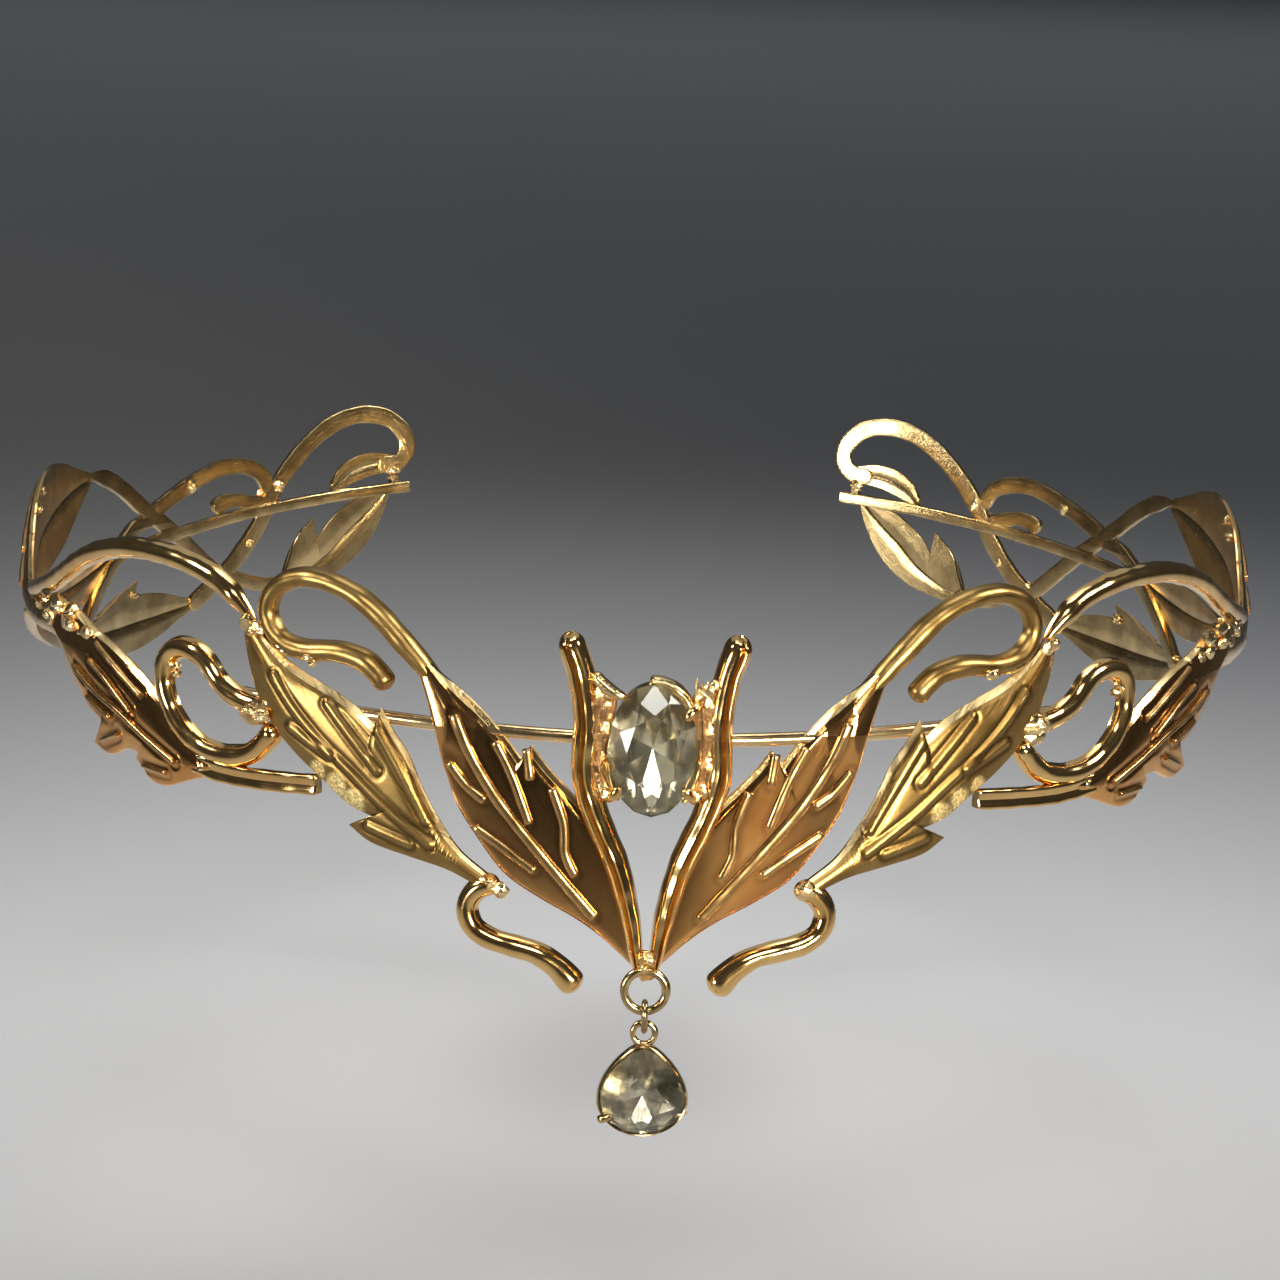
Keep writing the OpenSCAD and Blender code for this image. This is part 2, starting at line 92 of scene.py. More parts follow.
class Section(Enum):
    """Cross-section of a rod."""

    HALF_ROUND = "half round"
    CHANNELLED = "channelled"
    LOW = "low"
    WIRE = "wire"
    BAR = "bar"
    GROOVED = "grooved bar"

    def ring(self, count: int) -> Array:
        """Corners of the section, as shares of the rod's width and depth.

        A circle of angle a gives across = cos a / 2. In front, out is sin a to a power:
        below one for a low, blunt rod. Behind, out is a tenth of it, so the back is
        nearly flat. A channelled rod has a deep channel along its front and a flat
        beside it. A wire is the whole circle, and a bar takes cos a and sin a to the
        power of a quarter; a grooved bar has a groove along its front.

        Args:
            count: Number of corners.

        Returns:
            Array of count rows, each (across, out).
        """
        angle = full_turn(count)
        cos, sin = np.cos(angle), np.sin(angle)
        if self is Section.WIRE:
            return np.stack([cos / 2, 0.5 + sin / 2], -1)
        if self in (Section.BAR, Section.GROOVED):
            across, out = (np.sign(c) * np.abs(c) ** 0.25 / 2 for c in (cos, sin))
            if self is Section.GROOVED:
                out -= np.where(sin > 0, 0.3 * np.exp(-(((across - 0.08) / 0.12) ** 2)), 0)
            return np.stack([across, 0.5 + out], -1)
        power = 0.4 if self is Section.LOW else 0.92
        out = np.where(sin > 0, np.abs(sin) ** power, 0.05 * sin)
        if self is Section.CHANNELLED:
            channel = 0.26 * np.exp(-(((cos - 0.2) / 0.13) ** 2))
            flat = 0.08 * np.exp(-(((cos + 0.35) / 0.3) ** 2))
            out -= np.where(sin > 0, channel + flat, 0)
        return np.stack([cos / 2, out], -1)


@dataclass(frozen=True)
class Band:
    """Oval that all the castings follow.

    Attributes:
        half_width: Half of the oval's width.
        half_depth: Half of its depth, front to back.
    """

    half_width: float = 76.0
    half_depth: float = 80.5

    @property
    def reach(self) -> float:
        """Mean radius, which turns a length along the band into an angle."""
        return (self.half_width + self.half_depth) / 2

    def place(self, u: Array, v: Array, w: Array) -> Array:
        """Places on the band: x = (half width + w) sin t, y = -(half depth + w) cos t, z = v.

        Args:
            u: Lengths along the band; t is u / reach.
            v: Heights.
            w: Distances outwards from the band.

        Returns:
            Array of (x, y, z).
        """
        t = u / self.reach
        x = (self.half_width + w) * np.sin(t)
        y = -(self.half_depth + w) * np.cos(t)
        return grid(x, y, v)

    def front(self, x: Array, z: Array, out: Array) -> Array:
        """Places on the flat front of the band: (x, -(half depth + out), z)."""
        return grid(x, -(self.half_depth + out), z)


BAND = Band()


def travelled(points: Array) -> Array:
    """Length travelled along a run of points, 0 at the first."""
    steps = np.linalg.norm(np.diff(points, axis=0), axis=1)
    return np.concatenate([[0.0], np.cumsum(steps)])


def stations(columns: Array, run: Array, wanted: Array) -> Array:
    """Rows of a table read off at the wanted lengths along it.

    Args:
        columns: Table with a row for each known length.
        run: The known lengths, rising.
        wanted: Lengths to read at.

    Returns:
        Array with a row for each wanted length.
    """
    return np.stack([np.interp(wanted, run, c) for c in columns.T], -1)


def curve(rows: Rows | Array, per_span: int = 16) -> Array:
    """Smooth curve through the rows of a table.

    Between rows b and c, with a before and d after, the place at share t is
    (2b + (c - a) t + (2a - 5b + 4c - d) t^2 + (3b - a - 3c + d) t^3) / 2.

    Args:
        rows: The table, with two columns or more.
        per_span: Points between one row and the next.

    Returns:
        Array of the curve's points.
    """
    known = np.asarray(rows, float)
    last = len(known) - 1
    padded = np.vstack([2 * known[0] - known[1], known, 2 * known[-1] - known[-2]])
    share = np.linspace(0, last, last * per_span + 1)
    span = np.minimum(share.astype(int), last - 1)
    t = (share - span)[:, None]
    a, b, c, d = (padded[span + k] for k in range(4))
    square, cube = 2 * a - 5 * b + 4 * c - d, 3 * b - a - 3 * c + d
    return 0.5 * (2 * b + (c - a) * t + square * t**2 + cube * t**3)


def apart(points: Array, line: Array) -> Array:
    """Least distance from each point to the spans of a line, in the (u, v) plane.

    A span's nearest place is at the share of it that the way to the point covers, which
    is (way . span) / (span . span), kept between 0 and 1.

    Args:
        points: The points.
        line: The line's points.

    Returns:
        A distance for each point.
    """
    span = np.diff(line[:, :2], axis=0)
    way = points[..., None, :2] - line[:-1, :2]
    share = np.clip((way * span).sum(-1) / (span**2).sum(-1), 0, 1)
    return np.linalg.norm(way - share[..., None] * span, axis=-1).min(-1)


def beyond(points: Array, line: Array) -> Array:
    """Distance of each point from a line, above zero on its left and below on its right.

    It is the cross product of the line's direction at the nearest of its points and the
    way from there to the point.

    Args:
        points: The points.
        line: The line's points.

    Returns:
        A distance for each point.
    """
    flat = points[..., :2].reshape(-1, 2)
    nearest = ((flat[:, None] - line[None, :, :2]) ** 2).sum(-1).argmin(1)
    along = np.gradient(line[:, :2], axis=0)
    along /= np.linalg.norm(along, axis=1)[:, None]
    way, ahead = flat - line[nearest, :2], along[nearest]
    return (ahead[:, 0] * way[:, 1] - ahead[:, 1] * way[:, 0]).reshape(points.shape[:-1])


@dataclass
class Patch:
    """Closed surface.

    Attributes:
        points: Corners, a row of (x, y, z) for each.
        faces: Rows of four corner numbers; a triangle's last number is -1.
        finish: Number of the finish of each face.
        grain: For each corner, the length along and across the grain.
        tone: For each corner, painted shade with some patina, and rawness, both 0 to 1.
    """

    points: Array
    faces: Array
    finish: Array
    grain: Array
    tone: Array

    def volume(self) -> float:
        """Signed volume: a sixth of the sum of a . (b x c) over the triangles.

        Returns:
            The volume, below zero for a surface that is inside out.
        """
        quads = self.faces[self.faces[:, 3] >= 0]
        halves = np.vstack([self.faces[:, :3], quads[:, [0, 2, 3]]])
        a, b, c = (self.points[halves[:, k]] for k in range(3))
        return float((a * np.cross(b, c)).sum() / 6)

    def outward(self) -> "Patch":
        """Turns every face over if the surface is inside out.

        Returns:
            The surface itself.
        """
        if self.volume() < 0:
            whole = self.faces[:, 3] >= 0
            turned = self.faces[:, [2, 1, 0, 3]]
            turned[whole] = self.faces[whole][:, ::-1]
            self.faces = turned
        return self

    def mirrored(self, side: Side) -> "Patch":
        """Moves the surface to the given half of the crown."""
        self.points = self.points * np.array([side.value, 1, 1])
        return self.outward()


def skin(
    rings: Array, finish: Array, grain: Array, tone: Array | None = None, hoop: bool = False
) -> Patch:
    """Closed surface over rings of corners.

    Corner j of ring i joins corner j + 1 and the same two corners of ring i + 1. Each
    end is a fan of triangles round its ring's middle, and a hoop joins last to first.

    Args:
        rings: Corners, as an array (ring, corner, xyz).
        finish: Finish number of each strip of faces round the ring.
        grain: Grain at each corner, as an array (ring, corner, 2).
        tone: Painted shade with some patina, and rawness at each corner, as an array (ring, corner,
            2), or nothing.
        hoop: Whether the last ring joins the first.

    Returns:
        The surface, facing outwards.
    """
    count, sides = rings.shape[:2]
    i = np.arange(count if hoop else count - 1)[:, None]
    j = np.arange(sides)[None, :]
    here, there = i * sides, (i + 1) % count * sides
    k = (j + 1) % sides
    faces = grid(here + j, here + k, there + k, there + j).reshape(-1, 4)
    numbers = np.tile(finish, len(i))
    points = rings.reshape(-1, 3)
    lines = grain.reshape(-1, 2)
    tones = np.zeros((len(points), 2)) if tone is None else tone.reshape(-1, 2)
    if not hoop:
        around = np.arange(sides)
        after = (around + 1) % sides
        first, last = len(points), len(points) + 1
        base = (count - 1) * sides
        fans = [grid(first, after, around, -1), grid(last, base + around, base + after, -1)]
        faces = np.vstack([faces, *fans])
        numbers = np.concatenate([numbers, finish, finish])
        points = np.vstack([points, rings[0].mean(0), rings[-1].mean(0)])
        lines = np.vstack([lines, grain[0].mean(0), grain[-1].mean(0)])
        tones = np.vstack([tones, np.zeros((2, 2))])
    return Patch(points, faces, numbers, lines, tones).outward()


def make_piece(
    name: str, patches: list[Patch], finishes: list[bpy.types.Material], sharp: float = SMOOTH_EDGE
) -> bpy.types.Object:
    """Joins surfaces into one mesh and gives it its finishes.

    Args:
        name: Name of the piece.
        patches: The surfaces.
        finishes: Materials, in the order of the surfaces' finish numbers.
        sharp: Angle between two faces, in degrees, above which their edge stays sharp.

    Returns:
        The new object, at the origin, with its place in its mesh.
    """
    offsets = np.concatenate([[0], np.cumsum([len(p.points) for p in patches])])
    faces = np.vstack([np.where(p.faces < 0, -1, p.faces + o) for p, o in zip(patches, offsets)])
    corners = faces[faces >= 0]
    sizes = (faces >= 0).sum(1)
    mesh = bpy.data.meshes.new(name)
    mesh.vertices.add(int(offsets[-1]))
    mesh.loops.add(len(corners))
    mesh.polygons.add(len(faces))
    mesh.vertices.foreach_set("co", (np.vstack([p.points for p in patches]) * MM).ravel())
    mesh.loops.foreach_set("vertex_index", corners.astype(np.int32))
    starts = np.concatenate([[0], np.cumsum(sizes)[:-1]])
    numbers = np.concatenate([p.finish for p in patches])
    for key, values in (("loop_start", starts), ("loop_total", sizes), ("material_index", numbers)):
        mesh.polygons.foreach_set(key, values.astype(np.int32))
    mesh.polygons.foreach_set("use_smooth", np.ones(len(faces), bool))
    for label in ("grain", "tone"):
        rows = np.vstack([getattr(p, label) for p in patches])
        values = np.column_stack([rows, np.zeros(len(rows))]).astype(np.float32)
        data = mesh.attributes.new(label, "FLOAT_VECTOR", "POINT").data
        data.foreach_set("vector", values.ravel())
    mesh.update(calc_edges=True)
    mesh.set_sharp_from_angle(angle=math.radians(sharp))
    for finish in finishes:
        mesh.materials.append(finish)
    piece = bpy.data.objects.new(name, mesh)
    bpy.context.scene.collection.objects.link(piece)
    return piece


class Graph:
    """Node tree of one material, with short calls to add and join its nodes."""

    def __init__(self, name: str) -> None:
        """Makes the material with its usual shader.

        Args:
            name: Name of the material.
        """
        self.material = bpy.data.materials.new(name)
        self.material.use_nodes = True
        self.tree = self.material.node_tree
        self.shader = self.tree.nodes["Principled BSDF"]

    def fill(self, node: bpy.types.Node, inputs: dict[str, object]) -> None:
        """Sets a node's inputs.

        Args:
            node: The node.
            inputs: For each input's name, a number or colour, or the output joined to it.
        """
        for key, value in inputs.items():
            if isinstance(value, Socket):
                self.tree.links.new(value, node.inputs[key])
            else:
                node.inputs[key].default_value = value

    def add(self, kind: str, inputs: dict[str, object], **settings: object) -> bpy.types.Node:
        """Adds a node.

        Args:
            kind: The node's type, without its first word.
            inputs: As for fill.
            **settings: The node's own settings.

        Returns:
            The node.
        """
        node = self.tree.nodes.new("ShaderNode" + kind)
        for key, value in settings.items():
            setattr(node, key, value)
        self.fill(node, inputs)
        return node

    def noise(self, vector: Socket, scale: float, detail: float) -> Socket:
        """Cloudy noise; the result is its grey value."""
        inputs = {"Vector": vector, "Scale": scale, "Detail": detail, "Roughness": 0.6}
        return self.add("TexNoise", inputs).outputs["Fac"]

    def spread(self, value: Socket, low: float, high: float, to: tuple[float, float]) -> Socket:
        """Value between low and high carried over to another range.

        Args:
            value: The value.
            low: Where its own range starts.
            high: Where that ends.
            to: Both ends of the new range.

        Returns:
            The value in the new range.
        """
        inputs = {"Value": value, "From Min": low, "From Max": high}
        inputs |= {"To Min": to[0], "To Max": to[1]}
        return self.add("MapRange", inputs).outputs["Result"]

    def product(self, first: Socket, second: Socket) -> Socket:
        """One value times the other.

        Args:
            first: One value.
            second: The other.

        Returns:
            The product.
        """
        node = self.add("Math", {}, operation="MULTIPLY")
        for socket, value in zip(node.inputs, (first, second)):
            self.tree.links.new(value, socket)
        return node.outputs["Value"]

    def between(self, share: Socket, first: Socket, second: float) -> Socket:
        """Number between the first and the second."""
        inputs = {"Value": share, "To Min": first, "To Max": second}
        return self.add("MapRange", inputs).outputs["Result"]

    def mix(self, share: Socket, first: object, second: object) -> Socket:
        """Colour between the first and the second."""
        inputs = {"Fac": share, "Color1": first, "Color2": second}
        return self.add("MixRGB", inputs).outputs["Color"]

    def bump(self, height: Socket, deep: float, under: Socket | None) -> Socket:
        """Relief laid over another.

        Args:
            height: The relief, 0 to 1.
            deep: Its depth, in mm.
            under: The relief under it, or nothing.

        Returns:
            The normals of both.
        """
        inputs: dict[str, object] = {"Height": height, "Distance": deep * MM, "Strength": 1.0}
        if under is not None:
            inputs["Normal"] = under
        return self.add("Bump", inputs).outputs["Normal"]


RAW_GOLD: Colour = (1.0, 0.8, 0.36, 1)
RAW_ROUGH = 0.38
SAND_SIZE = 0.28
SAND_DEEP = 0.22
# Tint and greatest share of the darkening that the tone's first share paints: painted shade in
# creases, with some patina.
SHADE_AND_TARNISH_TINT = (0.2, 0.16, 0.12)
SHADE_AND_TARNISH_MOST = 0.75


@dataclass(frozen=True)
class Gold:
    """Gold-plated finish over a cast surface.

    Attributes:
        name: Name of the material.
        bright: Colour of fresh plating.
        deep: Colour where the plating is thin or has toned.
        rough: Least and greatest roughness.
        cloud: Size of the colour clouds, in mm.
        wave: Size and depth of the waves that casting and polishing leave, in mm.
        lines: Spacing and depth of the lines left along the grain, in mm.
        pits: Size and depth of the casting's pits, in mm.
        dish: How far polishing has turned the faces upwards, as a slope.
    """

    name: str
    bright: Colour
    deep: Colour
    rough: tuple[float, float]
    cloud: float
    wave: tuple[float, float]
    lines: tuple[float, float]
    pits: tuple[float, float]
    dish: float = 0.0

    def material(self) -> bpy.types.Material:
        """Builds the material.

        Clouds of noise mix the two colours, the tone's first share darkens them as painted
        shade in creases with some patina, and raw places are paler, duller and pitted like
        sand. Noise drawn out along the grain gives the lines, and two finer noises give the
        waves and the pits.

        Returns:
            The material.
        """
        graph = Graph(self.name)
        place = graph.add("TexCoord", {}).outputs["Object"]
        grain = graph.add("Attribute", {}, attribute_name="grain").outputs["Vector"]
        tone = graph.add("Attribute", {}, attribute_name="tone").outputs["Vector"]
        shade_and_tarnish, raw = graph.add("SeparateXYZ", {"Vector": tone}).outputs[:2]
        clouds = graph.noise(place, 1 / (self.cloud * MM), 3)
        waves = graph.noise(place, 1 / (self.wave[0] * MM), 1)
        pits = graph.noise(place, 1 / (self.pits[0] * MM), 5)
        stretch = (0.06 / self.lines[0], 1 / self.lines[0], 1.0)
        along = graph.add("Mapping", {"Vector": grain, "Scale": stretch}).outputs["Vector"]
        lines = graph.noise(along, 1.0, 3)
        toned = graph.mix(graph.spread(clouds, 0.35, 0.68, (0, 1)), self.bright, self.deep)
        shade_and_tarnish_colour = (*(part * share for part, share in zip(self.deep, SHADE_AND_TARNISH_TINT)), 1)
        # Painted shade in creases, with some patina, darkens the colour here.
        colour = graph.mix(graph.spread(shade_and_tarnish, 0, 1, (0, SHADE_AND_TARNISH_MOST)), toned, shade_and_tarnish_colour)
        sand = graph.noise(place, 1 / (SAND_SIZE * MM), 4)
        bare, fleck = graph.spread(raw, 0.1, 0.7, (0, 1)), graph.spread(sand, 0.4, 0.55, (0.35, 1))
        colour = graph.mix(graph.product(bare, fleck), colour, RAW_GOLD)
        polish = graph.spread(lines, 0.3, 0.7, self.rough)
        polish = graph.between(raw, polish, RAW_ROUGH)
        height = graph.add("SeparateXYZ", {"Vector": place}).outputs["Z"]
        relief = None
        if self.dish:
            relief = graph.bump(graph.spread(height, 0, 1, (0, -self.dish)), 1 / MM, None)
        relief = graph.bump(waves, self.wave[1], relief)
        relief = graph.bump(lines, self.lines[1], relief)
        relief = graph.bump(graph.spread(pits, 0.25, 0.5, (0, 1)), self.pits[1], relief)
        relief = graph.bump(graph.product(raw, sand), SAND_DEEP, relief)
        inputs = {"Base Color": colour, "Metallic": 1.0, "Roughness": polish, "Normal": relief}
        graph.fill(graph.shader, inputs)
        return graph.material


@dataclass(frozen=True)
class Crystal:
    """Clear cut glass with a warm tint.

    Attributes:
        name: Name of the material.
        clear: Its tint where it is clearest.
        smoky: Its tint where it is darkest.
        index: How strongly it bends light.
    """

    name: str
    clear: Colour
    smoky: Colour
    index: float = 1.52

    def material(self) -> bpy.types.Material:
        """Builds the material: noise mixes the tints, and finer noise scuffs the facets.

        Returns:
            The material.
        """
        graph = Graph(self.name)
        place = graph.add("TexCoord", {}).outputs["Object"]
        smoke = graph.noise(place, 1 / (4.5 * MM), 1)
        scuffs = graph.noise(place, 1 / (0.3 * MM), 4)
        tint = graph.mix(graph.spread(smoke, 0.35, 0.65, (0, 1)), self.clear, self.smoky)
        polish = graph.spread(scuffs, 0.4, 0.8, (0.0, 0.06))
        inputs = {"Base Color": tint, "Roughness": polish}
        inputs |= {"Transmission Weight": 1.0, "IOR": self.index}
        graph.fill(graph.shader, inputs)
        return graph.material


@dataclass(frozen=True)
class Foil:
    """Mirror foil behind a stone.

    Attributes:
        name: Name of the material.
        silver: Its colour where it is clean.
        stained: Its colour where it has toned.
    """

    name: str
    silver: Colour
    stained: Colour

    def material(self) -> bpy.types.Material:
        """Builds the material: noise mixes the colours, and finer noise dulls it in specks.

        Returns:
            The material.
        """
        graph = Graph(self.name)
        place = graph.add("TexCoord", {}).outputs["Object"]
        stains = graph.noise(place, 1 / (3 * MM), 2)
        specks = graph.noise(place, 1 / (0.25 * MM), 4)
        colour = graph.mix(graph.spread(stains, 0.35, 0.65, (0, 1)), self.silver, self.stained)
        polish = graph.spread(specks, 0.35, 0.75, (0.14, 0.22))
        graph.fill(graph.shader, {"Base Color": colour, "Metallic": 1.0, "Roughness": polish})
        return graph.material


@dataclass(frozen=True)
class Rod:
    """Rod, tendril, vein or wire: one cross-section carried along a route.

    Attributes:
        route: Rows of (u, v, width, lift of the flat back).
        deep: Depth at full size.
        section: Its cross-section.
        start: How it starts.
        finish: How it finishes.
        hand: How uneven it is, as a share of its size.
        step: Distance between rings.
        sides: Corners of a ring.
        mitre: How much further back its start is cut in front than behind.
    """

    route: Rows | Array
    deep: float = 1.6
    section: Section = Section.HALF_ROUND
    start: End = End.ROUND
    finish: End = End.ROUND
    hand: float = 0.03
    step: float = 0.6
    sides: int = 20
    mitre: float = 0.0

    def size_at(self, run: Array, length: float, half: float) -> Array:
        """Share of full size along the rod.

        At a round end it is sqrt(1 - (1 - s / h)^2), with s from the end and h half the
        width. A pointed end grows evenly over five half widths, and a cut end's edge is
        softened over its last 0.35 mm by up to an eighth.

        Args:
            run: Lengths along the rod.
            length: Its whole length.
            half: Half of its width.

        Returns:
            Share at each length, from 0 to 1.
        """
        share = np.ones(len(run))
        for end, away in ((self.start, run), (self.finish, length - run)):
            if end is End.ROUND:
                share *= np.sqrt(np.clip(1 - (1 - np.minimum(away / half, 1)) ** 2, 0.0004, 1))
            elif end is End.POINT:
                share *= np.clip(away / (5 * half), 0.04, 1)
            else:
                share *= 1 - 0.12 * np.clip(1 - away / 0.35, 0, 1) ** 2
        return share

    def surface(self, place: Place, seed: int = 0, front: int = 0, back: int = 0) -> Patch:
        """Carries the section along the route.

        At length s along it a corner (across, out) stands across times the width beside
        the route, and lift + out times the depth in front of the band. Both are times the
        share of full size, and times 1 + hand (sin 1.9 s + sin 0.83 s) / 1.5 with both
        angles moved on by the seed. A mitred start moves forward evenly with out.

        Args:
            place: Turns (u, v, w) into (x, y, z).
            seed: Varies the unevenness.
            front: Finish number of the front.
            back: Finish number of the flat back.

        Returns:
            The closed surface.
        """
        path = curve(self.route)
        run = travelled(path[:, :2])
        length, half = run[-1], path[:, 2].mean() / 2
        turn = half * (1 - np.cos(np.linspace(0, np.pi / 2, 6)))
        inner = np.linspace(half, length - half, max(int((length - 2 * half) / self.step), 1) + 1)
        at = np.concatenate([turn[:-1], inner, length - turn[:-1][::-1]])
        rows = stations(path, run, at)
        tangent = np.gradient(rows[:, :2], at, axis=0)
        tangent /= np.linalg.norm(tangent, axis=1)[:, None]
        aside = np.stack([-tangent[:, 1], tangent[:, 0]], -1)
        uneven = 1 + self.hand * (np.sin(at * 1.9 + seed) + np.sin(at * 0.83 + 2.3 * seed)) / 1.5
        size = self.size_at(at, length, half) * uneven
        ring = self.section.ring(self.sides)
        across = rows[:, 2:3] * size[:, None] * ring[:, 0]
        out = rows[:, 3:4] + self.deep * size[:, None] * ring[:, 1]
        ahead = self.mitre * np.clip(1 - at[:, None] / (3 * half), 0, 1) * ring[:, 1]
        u = rows[:, 0:1] + aside[:, 0:1] * across + tangent[:, 0:1] * ahead
        v = rows[:, 1:2] + aside[:, 1:2] * across + tangent[:, 1:2] * ahead
        facing = (ring[:, 1] + np.roll(ring[:, 1], -1)) / 2
        numbers = np.where(facing > 0.001, front, back)
        grain = grid(at[:, None], travelled(ring) * rows[:, 2].mean())
        return skin(place(u, v, out), numbers, grain)


@dataclass(frozen=True)
class Leaf:
    """Cast leaf, flat behind, with raised veins on its swelling front.

    Attributes:
        spine: Midrib from stem to tip, as rows of (u, v).
        low: Lower edge from stem to tip, as smooth strands that meet at corners.
        high: Upper edge, the same way.
        veins: Raised veins, as rows of (u, v).
        thick: Thickness at the edges.
        swell: How far the middle swells in front of the edges.
        lift: How far the flat back stands out from the band.
        bevel: Width, depth and power of the turn at the upper edge.
        brim: The same at the lower edge.
        vein: Width and height of the veins.
        carved: Whether the veins are carved in the blade and not laid on it.
        facet: Inner edge of a flat ground along the lower edge, as rows of (u, v).
        ground: Slope of that flat.
        raw: Raw places on the front, as rows of (u, v, radius).
        groove: Depth of the grooves beside the veins.
        beside: Distance of the grooves from the veins' middles.
        shade: Painted shade, with some patina, in the grooves beside the veins.
        lag: How far the side veins lean towards the tip.
        step: Distance between rungs.
        columns: Columns from the midrib to an edge.
        turn_steps: Columns of the turn over an edge.
        front_share: Share of the edges' thickness above which a corner is on the front.
        worn: First strip of the upper turn that takes the paler rim gold, a painted highlight, and
            the first that doesn't.
    """

    spine: Rows
    low: tuple[Rows, ...]
    high: tuple[Rows, ...]
    veins: tuple[Rows, ...] = ()
    thick: float = 1.0
    swell: float = 0.5
    lift: float = 0.0
    bevel: tuple[float, float, float] = (0.9, 0.7, 1.9)
    brim: tuple[float, float, float] = (0.5, 0.5, 1.0)
    vein: tuple[float, float] = (1.1, 0.45)
    carved: bool = False
    facet: Rows = ()
    ground: float = 0.22
    raw: Rows = ()
    groove: float = 0.0
    beside: float = 0.7
    shade: float = 0.5
    lag: float = 0.7
    step: float = 0.4
    columns: int = 15
    turn_steps: int = 6
    front_share: float = 0.3
    worn: tuple[int, int] = (1, 4)

    def edge(self, strands: tuple[Rows, ...]) -> Array:
        """Edge made of its smooth strands, joined at the corners."""
        runs = [curve(s)[(1 if k else 0) :] for k, s in enumerate(strands)]
        return np.vstack(runs)

    def feet(self, edge: Array, spine: Array) -> Array:
        """Share of the spine from which each point of an edge is reached.

        A point is reached from the nearest place on the spine, moved back towards the
        stem by lag times the distance, as a side vein leaves a midrib. The share never
        falls, and it runs from 0 to 1.

        Args:
            edge: Points of the edge.
            spine: Points of the spine.

        Returns:
            A share for each point of the edge.
        """
        gap = np.linalg.norm(edge[:, None] - spine[None], axis=-1)
        foot = travelled(spine)[gap.argmin(1)] - self.lag * gap.min(1)
        foot = np.maximum.accumulate(foot) + np.arange(len(foot)) * 0.001
        return (foot - foot[0]) / (foot[-1] - foot[0])

    def rungs(self) -> tuple[Array, Array, Array]:
        """Matching places on the lower edge, the spine and the upper edge.

        Returns:
            Three arrays of (u, v), a row for each rung, evenly spaced along both edges.
        """
        spine = curve(self.spine)
        low, high = self.edge(self.low), self.edge(self.high)
        foot_low, foot_high = self.feet(low, spine), self.feet(high, spine)
        shares = np.unique(np.concatenate([foot_low, foot_high]))
        run = travelled(spine)
        three = [
            stations(low, foot_low, shares),
            stations(spine, run / run[-1], shares),
            stations(high, foot_high, shares),
        ]
        both = travelled(three[0]) + travelled(three[2])
        wanted = np.linspace(0, both[-1], int(both[-1] / self.step))
        return tuple(stations(line, both, wanted) for line in three)

    def half(self, spine: Array, edge: Array, over: tuple[float, float, float]) -> Array:
        """Half of each rung's section: from the spine over the edge and back behind.

        Across it, q runs from 0 at the spine to 1 at the edge, and the front stands at
        thick + swell (1 - q^2). The last part turns over the edge: with an angle a from 0
        to 90, it goes sin a to a power outwards and 1 - cos a to that power down, which is
        a round for a power of 1 and a flat bevel for 2.

        Args:
            spine: The rungs' places on the spine.
            edge: Their places on the edge.
            over: Width, depth and power of the turn over the edge.

        Returns:
            Array (rung, column, uvw).
        """
        wide, deep, power = over
        inner = np.linspace(0, 1, self.columns)
        arc = np.linspace(0, np.pi / 2, self.turn_steps)[1:]
        reach = np.linalg.norm(edge - spine, axis=1)[:, None]
        turn = np.minimum(wide, 0.45 * reach)
        fall = deep * turn / wide
        fade = np.minimum(reach / 3, 1)
        top = self.thick + self.swell * fade * (1 - inner**2)
        away = [(reach - turn) * inner, reach - turn * (1 - np.sin(arc) ** power)]
        away += [reach, reach - 0.1, reach * 0.5, np.minimum(reach * 0.5, 0.3)]
        out = [top, self.thick - fall * (1 - np.cos(arc) ** power)]
        out += [0 * reach + 0.1, 0 * reach, 0 * reach, 0 * reach]
        away, out = np.concatenate(away, 1), np.concatenate(out, 1)
        along = (edge - spine) / np.maximum(reach, 1e-6)
        flat = spine[:, None] + along[:, None] * away[..., None]
        return np.concatenate([flat, out[..., None]], -1)

    def work(self, loop: Array, fronts: Array, lines: list[Array]) -> Array:
        """Cuts the flat, the grooves and the carved veins into the front, and paints shade in the
        grooves.

        Beyond the facet's line the front falls evenly. At a distance d from a vein's line,
        a groove takes away its depth times exp(-((d - beside) / 0.3)^2), the same weight
        times shade is painted shade with some patina in the groove, and a carved vein adds
        its height times exp(-(d / half width)^2). A place is raw by exp(-(d / radius)^4).

        Args:
            loop: The blade's corners, whose heights are changed.
            fronts: Which of them are on the front.
            lines: Curves of the veins.

        Returns:
            Painted shade with some patina, and rawness, at each corner.
        """
        tone = np.zeros((*loop.shape[:2], 2))
        if self.facet:
            loop[..., 2] -= self.ground * np.clip(beyond(loop, curve(self.facet)), 0, 3) * fronts
        for u, v, radius in self.raw:
            away = np.hypot(loop[..., 0] - u, loop[..., 1] - v) / radius
            tone[..., 1] = np.maximum(tone[..., 1], np.exp(-(away**4)) * fronts)
        for line in lines:
            gap = apart(loop, line)
            beside = np.exp(-(((gap - self.beside) / 0.3) ** 2)) * fronts
            # Painted shade, with some patina, darkens the groove beside the vein.
            tone[..., 0] = np.maximum(tone[..., 0], beside * self.shade)
            loop[..., 2] -= self.groove * beside
            if self.carved:
                loop[..., 2] += self.vein[1] * np.exp(-((gap / (0.5 * self.vein[0])) ** 2)) * fronts
        return tone

